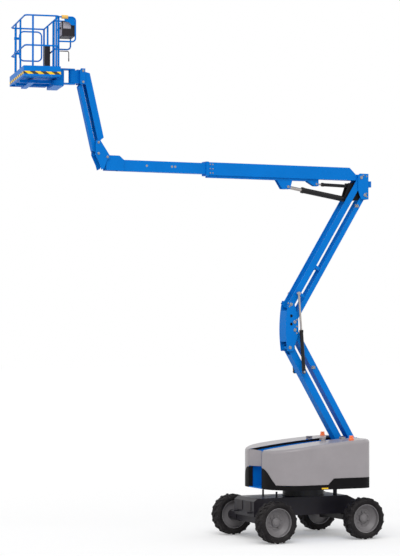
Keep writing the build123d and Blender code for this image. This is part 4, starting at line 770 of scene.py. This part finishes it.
def make_hazard_stripes():
    """Yellow and black slanted stripes along a band, with scuffed paint."""
    material, tree, surface = start_material("hazard_stripes")
    band = place(tree, "ShaderNodeUVMap", uv_map="band")
    axes = split_axes(tree, band.outputs["UV"])
    slant = reckon(tree, "MULTIPLY_ADD", axes["Y"], stripe_lean, axes["X"])
    pitch = reckon(tree, "DIVIDE", slant, stripe_pitch)
    phase = reckon(tree, "FRACT", pitch)
    stripe = reckon(tree, "GREATER_THAN", phase, 0.5)
    mixed = blend(tree, stripe, shade(34, 33, 34), shade(250, 204, 12))
    grain = use_group(tree, paint_grain, Cloud_Size=6.0, Cloud_Depth=0.1)
    link(tree, mixed, grain.inputs["Colour"])
    edge_tint = use_group(tree, edge_wear_and_highlight, Worn_Colour=shade(120, 116, 100), Amount=0.6, Width=0.004)
    link(tree, grain.outputs["Colour"], edge_tint.inputs["Colour"])
    link(tree, edge_tint.outputs["Colour"], surface.inputs["Base Color"])
    spread_roughness(tree, surface, grain.outputs["Cloud"], 0.35, 0.5)
    return material


def add_hazard_band():
    """A thin striped band round the foot of the toe boards."""
    low, high, proud = 9.212, 9.268, 0.0015
    rear, front, half = 0.375, 1.095, 0.915
    corners = ((rear, half), (front, half), (front, -half), (rear, -half))
    band = bmesh.new()
    loops = []
    for reach, height in ((0.0, low), (proud, low + 0.001), (proud, high - 0.001), (0.0, high)):
        loop = []
        for ahead, left in corners:
            grown_ahead = ahead + (reach if ahead == front else -reach)
            grown_left = left + (reach if left > 0 else -reach)
            loop.append(band.verts.new(on_platform(grown_ahead, grown_left, height)))
        loops.append(loop)
    paint = band.loops.layers.uv.new("band")
    run = [0.0]
    for start, end in zip(corners, corners[1:] + corners[:1]):
        run.append(run[-1] + math.hypot(end[0] - start[0], end[1] - start[1]))
    for below, above in zip(loops, loops[1:]):
        for step in range(4):
            after = (step + 1) % 4
            face = band.faces.new((below[step], below[after], above[after], above[step]))
            for corner, along in zip(face.loops, (run[step], run[step + 1], run[step + 1], run[step])):
                corner[paint].uv = (along, corner.vert.co.z - low)
    finish_piece("hazard_band", band, make_hazard_stripes(), "platform")


add_hazard_band()

# Control panel: a pale face plate and lid, joysticks in boots, switches and a red stop knob
panel_grey = coated(
    "panel_grey", shade(168, 164, 172), shade(200, 198, 200), (0.4, 0.55),
    peel=300.0, edge_amount=0.3, dust=0.05, clean_height=high_up,
)
stop_red = coated(
    "stop_red", shade(196, 30, 26), shade(220, 90, 80), (0.25, 0.4),
    peel=260.0, edge_amount=0.3, dust=0.0,
)
box_front = 0.3227
box_middle = 0.56
box_top = 10.275
face_height = 10.13
lid_ahead = 0.198
face_size = (0.37, 0.25, 0.006)
lid_size = (0.37, 0.205, 0.005)
panel_chamfer = 0.002
upwards = (0, 0, 1)
panel = bmesh.new()
face_spot = on_platform(box_front, box_middle, face_height)
lid_spot = on_platform(lid_ahead, box_middle, box_top)
add_slab(panel, face_spot, platform_left, upwards, platform_ahead, face_size, panel_chamfer)
add_slab(panel, lid_spot, platform_left, platform_ahead, upwards, lid_size, panel_chamfer)
finish_piece("control_panel", panel, panel_grey, "platform")

lid_top = box_top + lid_size[2]
knob_ahead = 0.14
lever_ahead = 0.18
switch_ahead = 0.25
lever_spacing = 0.12
switch_spacing = 0.03
boot = [(0.034, 0), (0.034, 0.004), (0.026, 0.009), (0.028, 0.013)]
boot += [(0.02, 0.019), (0.021, 0.023), (0.012, 0.03)]
stick = [(0.0075, 0.028), (0.0085, 0.055), (0.0125, 0.062), (0.0135, 0.085), (0.011, 0.097), (0.006, 0.102)]
switch_nut = [(0.008, 0), (0.008, 0.004), (0.006, 0.006)]
switch_bat = [(0.0025, 0.004), (0.004, 0.022), (0.003, 0.025)]
levers = bmesh.new()
for side in (-1, 1):
    spot = on_platform(lever_ahead, box_middle + side * lever_spacing, lid_top)
    add_turned(levers, boot, spot, upwards, 20)
    add_turned(levers, stick, spot, (0.05, 0, 1), 16)
for step in (-2, -1, 0, 1, 2):
    spot = on_platform(switch_ahead, box_middle + step * switch_spacing, lid_top)
    add_turned(levers, switch_nut, spot, upwards, 6)
    add_turned(levers, switch_bat, spot, (0.3, 0, 1), 10)
finish_piece("control_levers", levers, skirt_black, "platform")

stop_knob = bmesh.new()
knob = [(0.012, 0), (0.012, 0.012), (0.024, 0.016), (0.026, 0.022), (0.024, 0.028), (0.012, 0.032)]
add_turned(stop_knob, knob, on_platform(knob_ahead, box_middle, lid_top), upwards, 24)
finish_piece("stop_knob", stop_knob, stop_red, "platform")

# Blank yellow plate at the foot of the near skirt
plate_yellow = coated(
    "plate_yellow", shade(236, 190, 40), shade(200, 180, 120), (0.35, 0.5),
    edge_amount=0.4, dust=0.1,
)
plate_place = (-0.115, 0.990, 1.066)
plate_size = (0.15, 0.03, 0.002)
plate_chamfer = 0.0008
skirt_plate = bmesh.new()
add_slab(skirt_plate, plate_place, (-1, 0, 0), upwards, (0, 1, 0), plate_size, plate_chamfer)
finish_piece("skirt_plate", skirt_plate, plate_yellow, "turntable")


# Rubber seals along the tops of the bulkheads, under the covers' inner edges
def add_bulkhead_seal(flank, outward):
    """A black strip that follows the top line of a bulkhead on its inner face."""
    face_y, on_face = 0.2857, 0.0004
    lowest, tab_foot = 1.7, 2.047
    deck = nodes["turntable_deck"].data
    crown = {}
    for vertex in deck.vertices:
        spot = vertex.co
        if abs(spot.y - outward * face_y) < on_face and spot.z > lowest:
            key = round(spot.x, 3)
            crown[key] = max(crown.get(key, 0.0), spot.z)
    stations = [key for key in sorted(crown) if crown[key] < tab_foot]
    seal = bmesh.new()
    profile = ((0.0, -0.05), (0.006, -0.046), (0.008, -0.02), (0.006, -0.004), (0.0, -0.001))
    rows = []
    for x in stations:
        row = [seal.verts.new((x, outward * (face_y - depth), crown[x] + drop)) for depth, drop in profile]
        rows.append(row)
    for first, second in zip(rows, rows[1:]):
        for step in range(len(profile) - 1):
            seal.faces.new((first[step], first[step + 1], second[step + 1], second[step]))
    seal.faces.new(rows[0])
    seal.faces.new(rows[-1])
    finish_piece(f"bulkhead_seal_{flank}", seal, skirt_black, "turntable")


add_bulkhead_seal("left", 1)
add_bulkhead_seal("right", -1)


# Nose panels beside the riser: a grey return above and a black one below, fixed to the bulkheads
panel_outer = (0.974, 0.2915)
panel_thick = 0.006


def add_nose_panel(name, outward, finish, inner, low, high, drop):
    """A sheet from a bulkhead's front end back to an inner edge, its top falling towards that edge."""
    steps = 8
    sheet = bmesh.new()
    start = Vector((*panel_outer, 0))
    run = Vector((*inner, 0)) - start
    face_out = Vector((-run.y, run.x, 0)).normalized()
    if face_out.x < 0:
        face_out = -face_out
    rows = []
    for step in range(steps + 1):
        share = step / steps
        back = start + run * share
        front = back + face_out * panel_thick
        top = high - drop * share * share
        foot = low + 0.4 * drop * (1 - share) ** 3
        corners = ((front, foot), (front, top), (back, top), (back, foot))
        rows.append([sheet.verts.new((spot.x, outward * spot.y, z)) for spot, z in corners])
    bridge_rows(sheet, rows)
    finish_piece(name, sheet, finish, "turntable")


for flank, outward in (("left", 1), ("right", -1)):
    add_nose_panel(
        f"nose_panel_{flank}", outward, cowl_grey,
        inner=(0.768, 0.108), low=1.475, high=1.822, drop=0.03,
    )
    add_nose_panel(
        f"nose_skirt_{flank}", outward, skirt_black,
        inner=(0.900, 0.250), low=1.062, high=1.466, drop=0.0,
    )


# Front sheet of the middle pivot frame, bent along the plates' bulge
def add_front_sheet():
    """A thin sheet between the middle pivot plates, clear of the arms' ends and of the folded boom."""
    low_tip, crest, high_tip = (0.298, 3.851), (0.330, 4.3715), (0.272, 4.892)
    low, high, half = 4.045, 4.690, 0.1335
    setback, thick, steps = 0.002, 0.005, 20
    sheet = bmesh.new()
    rows = []
    for step in range(steps + 1):
        z = low + (high - low) * step / steps
        tip = high_tip if z > crest[1] else low_tip
        share = (z - crest[1]) / (tip[1] - crest[1])
        x = crest[0] + (tip[0] - crest[0]) * share * share - setback
        corners = ((0, half), (0, -half), (thick, -half), (thick, half))
        rows.append([sheet.verts.new((x - depth, y, z)) for depth, y in corners])
    bridge_rows(sheet, rows)
    finish_piece("mid_front_sheet", sheet, boom_blue, "mid_pivot")


add_front_sheet()


# Gusset in the upper corner of the near guard hoop, and a pale lid on the control box's near side
def add_hoop_gusset():
    """A blue plate in the hoop's upper rear corner."""
    upper_edge = [(0.095, 10.335), (0.300, 10.335)]
    lower_edge = [(0.285, 10.262), (0.205, 10.245), (0.150, 10.190), (0.088, 10.190)]
    near_face, far_face = 0.833, 0.827
    plate = bmesh.new()
    rows = []
    for left in (near_face, far_face):
        rows.append([plate.verts.new(on_platform(ahead, left, z)) for ahead, z in upper_edge + lower_edge])
    bridge_rows(plate, rows)
    finish_piece("hoop_gusset", plate, boom_blue, "platform")


add_hoop_gusset()
side_lid = bmesh.new()
side_lid_place = on_platform(0.23, 0.77, 10.195)
side_lid_size = (0.15, 0.13, 0.005)
add_slab(side_lid, side_lid_place, platform_ahead, upwards, platform_left, side_lid_size, panel_chamfer)
finish_piece("control_side_lid", side_lid, panel_grey, "platform")


# Dark plastic sleeve over the hose hook at the rear of the platform
def add_hook_sleeve():
    """A bent tube just larger than the hook's rod, with a rounded bend and a thicker tip."""
    height, rear, left, drop, bend = 9.680, 0.205, 0.830, 0.190, 0.030
    tube_radius, tip_radius = 0.0085, 0.0105
    spots = [(0.375, height), (0.300, height)]
    for step in range(7):
        angle = math.radians(15 * step)
        spots.append((rear + bend - bend * math.sin(angle), height - bend + bend * math.cos(angle)))
    spots += [(rear, height - 0.12), (rear, height - 0.15), (rear, height - drop - 0.004)]
    tube = bmesh.new()
    sides = 14
    rings = []
    for index, (ahead, z) in enumerate(spots):
        before, after = spots[max(index - 1, 0)], spots[min(index + 1, len(spots) - 1)]
        run = (platform_ahead * (after[0] - before[0]) + Vector((0, 0, after[1] - before[1]))).normalized()
        rise = run.cross(platform_left)
        radius = tip_radius if index >= len(spots) - 2 else tube_radius
        ring = []
        for step in range(sides):
            angle = 2 * math.pi * step / sides
            out = platform_left * math.cos(angle) + rise * math.sin(angle)
            ring.append(tube.verts.new(on_platform(ahead, left, z) + out * radius))
        rings.append(ring)
    bridge_rows(tube, rings)
    finish_piece("hook_sleeve", tube, skirt_black, "platform")


add_hook_sleeve()


# Studio: a pale floor, an even white surround and three soft lamps
def seen_rays(tree):
    """One for what the camera sees, straight, reflected or through glass, and nought for other light."""
    rays = place(tree, "ShaderNodeLightPath").outputs
    seen = reckon(tree, "MAXIMUM", rays["Is Camera Ray"], rays["Is Glossy Ray"])
    return reckon(tree, "MAXIMUM", seen, rays["Is Transmission Ray"])


def make_floor_white():
    """Pale floor that keeps the soft shadow and meets the white surround."""
    material = bpy.data.materials.new("floor_white")
    material.use_nodes = True
    tree = material.node_tree
    tree.nodes.clear()
    matt = place(tree, "ShaderNodeBsdfDiffuse", Color=(0.8, 0.8, 0.8, 1))
    lift = place(tree, "ShaderNodeEmission", Color=(1, 1, 1, 1))
    link(tree, reckon(tree, "MULTIPLY", seen_rays(tree), 0.2), lift.inputs["Strength"])
    both = place(tree, "ShaderNodeAddShader")
    link(tree, matt.outputs["BSDF"], both.inputs[0])
    link(tree, lift.outputs["Emission"], both.inputs[1])
    out = place(tree, "ShaderNodeOutputMaterial")
    link(tree, both.outputs["Shader"], out.inputs["Surface"])
    return material


floor_mesh = bpy.data.meshes.new("floor")
floor_reach = 150.0
corner_sides = ((-1, -1), (1, -1), (1, 1), (-1, 1))
floor_corners = [(across * floor_reach, along * floor_reach, 0) for across, along in corner_sides]
floor_mesh.from_pydata(floor_corners, [], [(0, 1, 2, 3)])
floor_mesh.materials.append(make_floor_white())
floor = bpy.data.objects.new("floor", floor_mesh)
scene.collection.objects.link(floor)

world = bpy.data.worlds.new("studio")
world.use_nodes = True
scene.world = world
tree = world.node_tree
tree.nodes.clear()
surround = place(tree, "ShaderNodeBackground", Color=(1, 1, 1, 1))
level = remap(tree, seen_rays(tree), start=0.0, end=1.0, low=0.62)
link(tree, level, surround.inputs["Strength"])
out = place(tree, "ShaderNodeOutputWorld")
link(tree, surround.outputs["Background"], out.inputs["Surface"])


def hang_lamp(name, strength, spread, aim):
    """A wide soft lamp that shines along a direction."""
    lamp = bpy.data.lights.new(name, "SUN")
    lamp.energy = strength
    lamp.angle = math.radians(spread)
    holder = bpy.data.objects.new(name, lamp)
    scene.collection.objects.link(holder)
    holder.rotation_mode = "QUATERNION"
    holder.rotation_quaternion = Vector(aim).to_track_quat("-Z", "Y")


hang_lamp("key_lamp", 1.3, 40, (-0.35, -0.75, -0.85))
hang_lamp("fill_lamp", 0.35, 90, (0.8, -0.5, -0.5))
hang_lamp("nose_lamp", 0.45, 60, (-0.95, -0.2, -0.25))
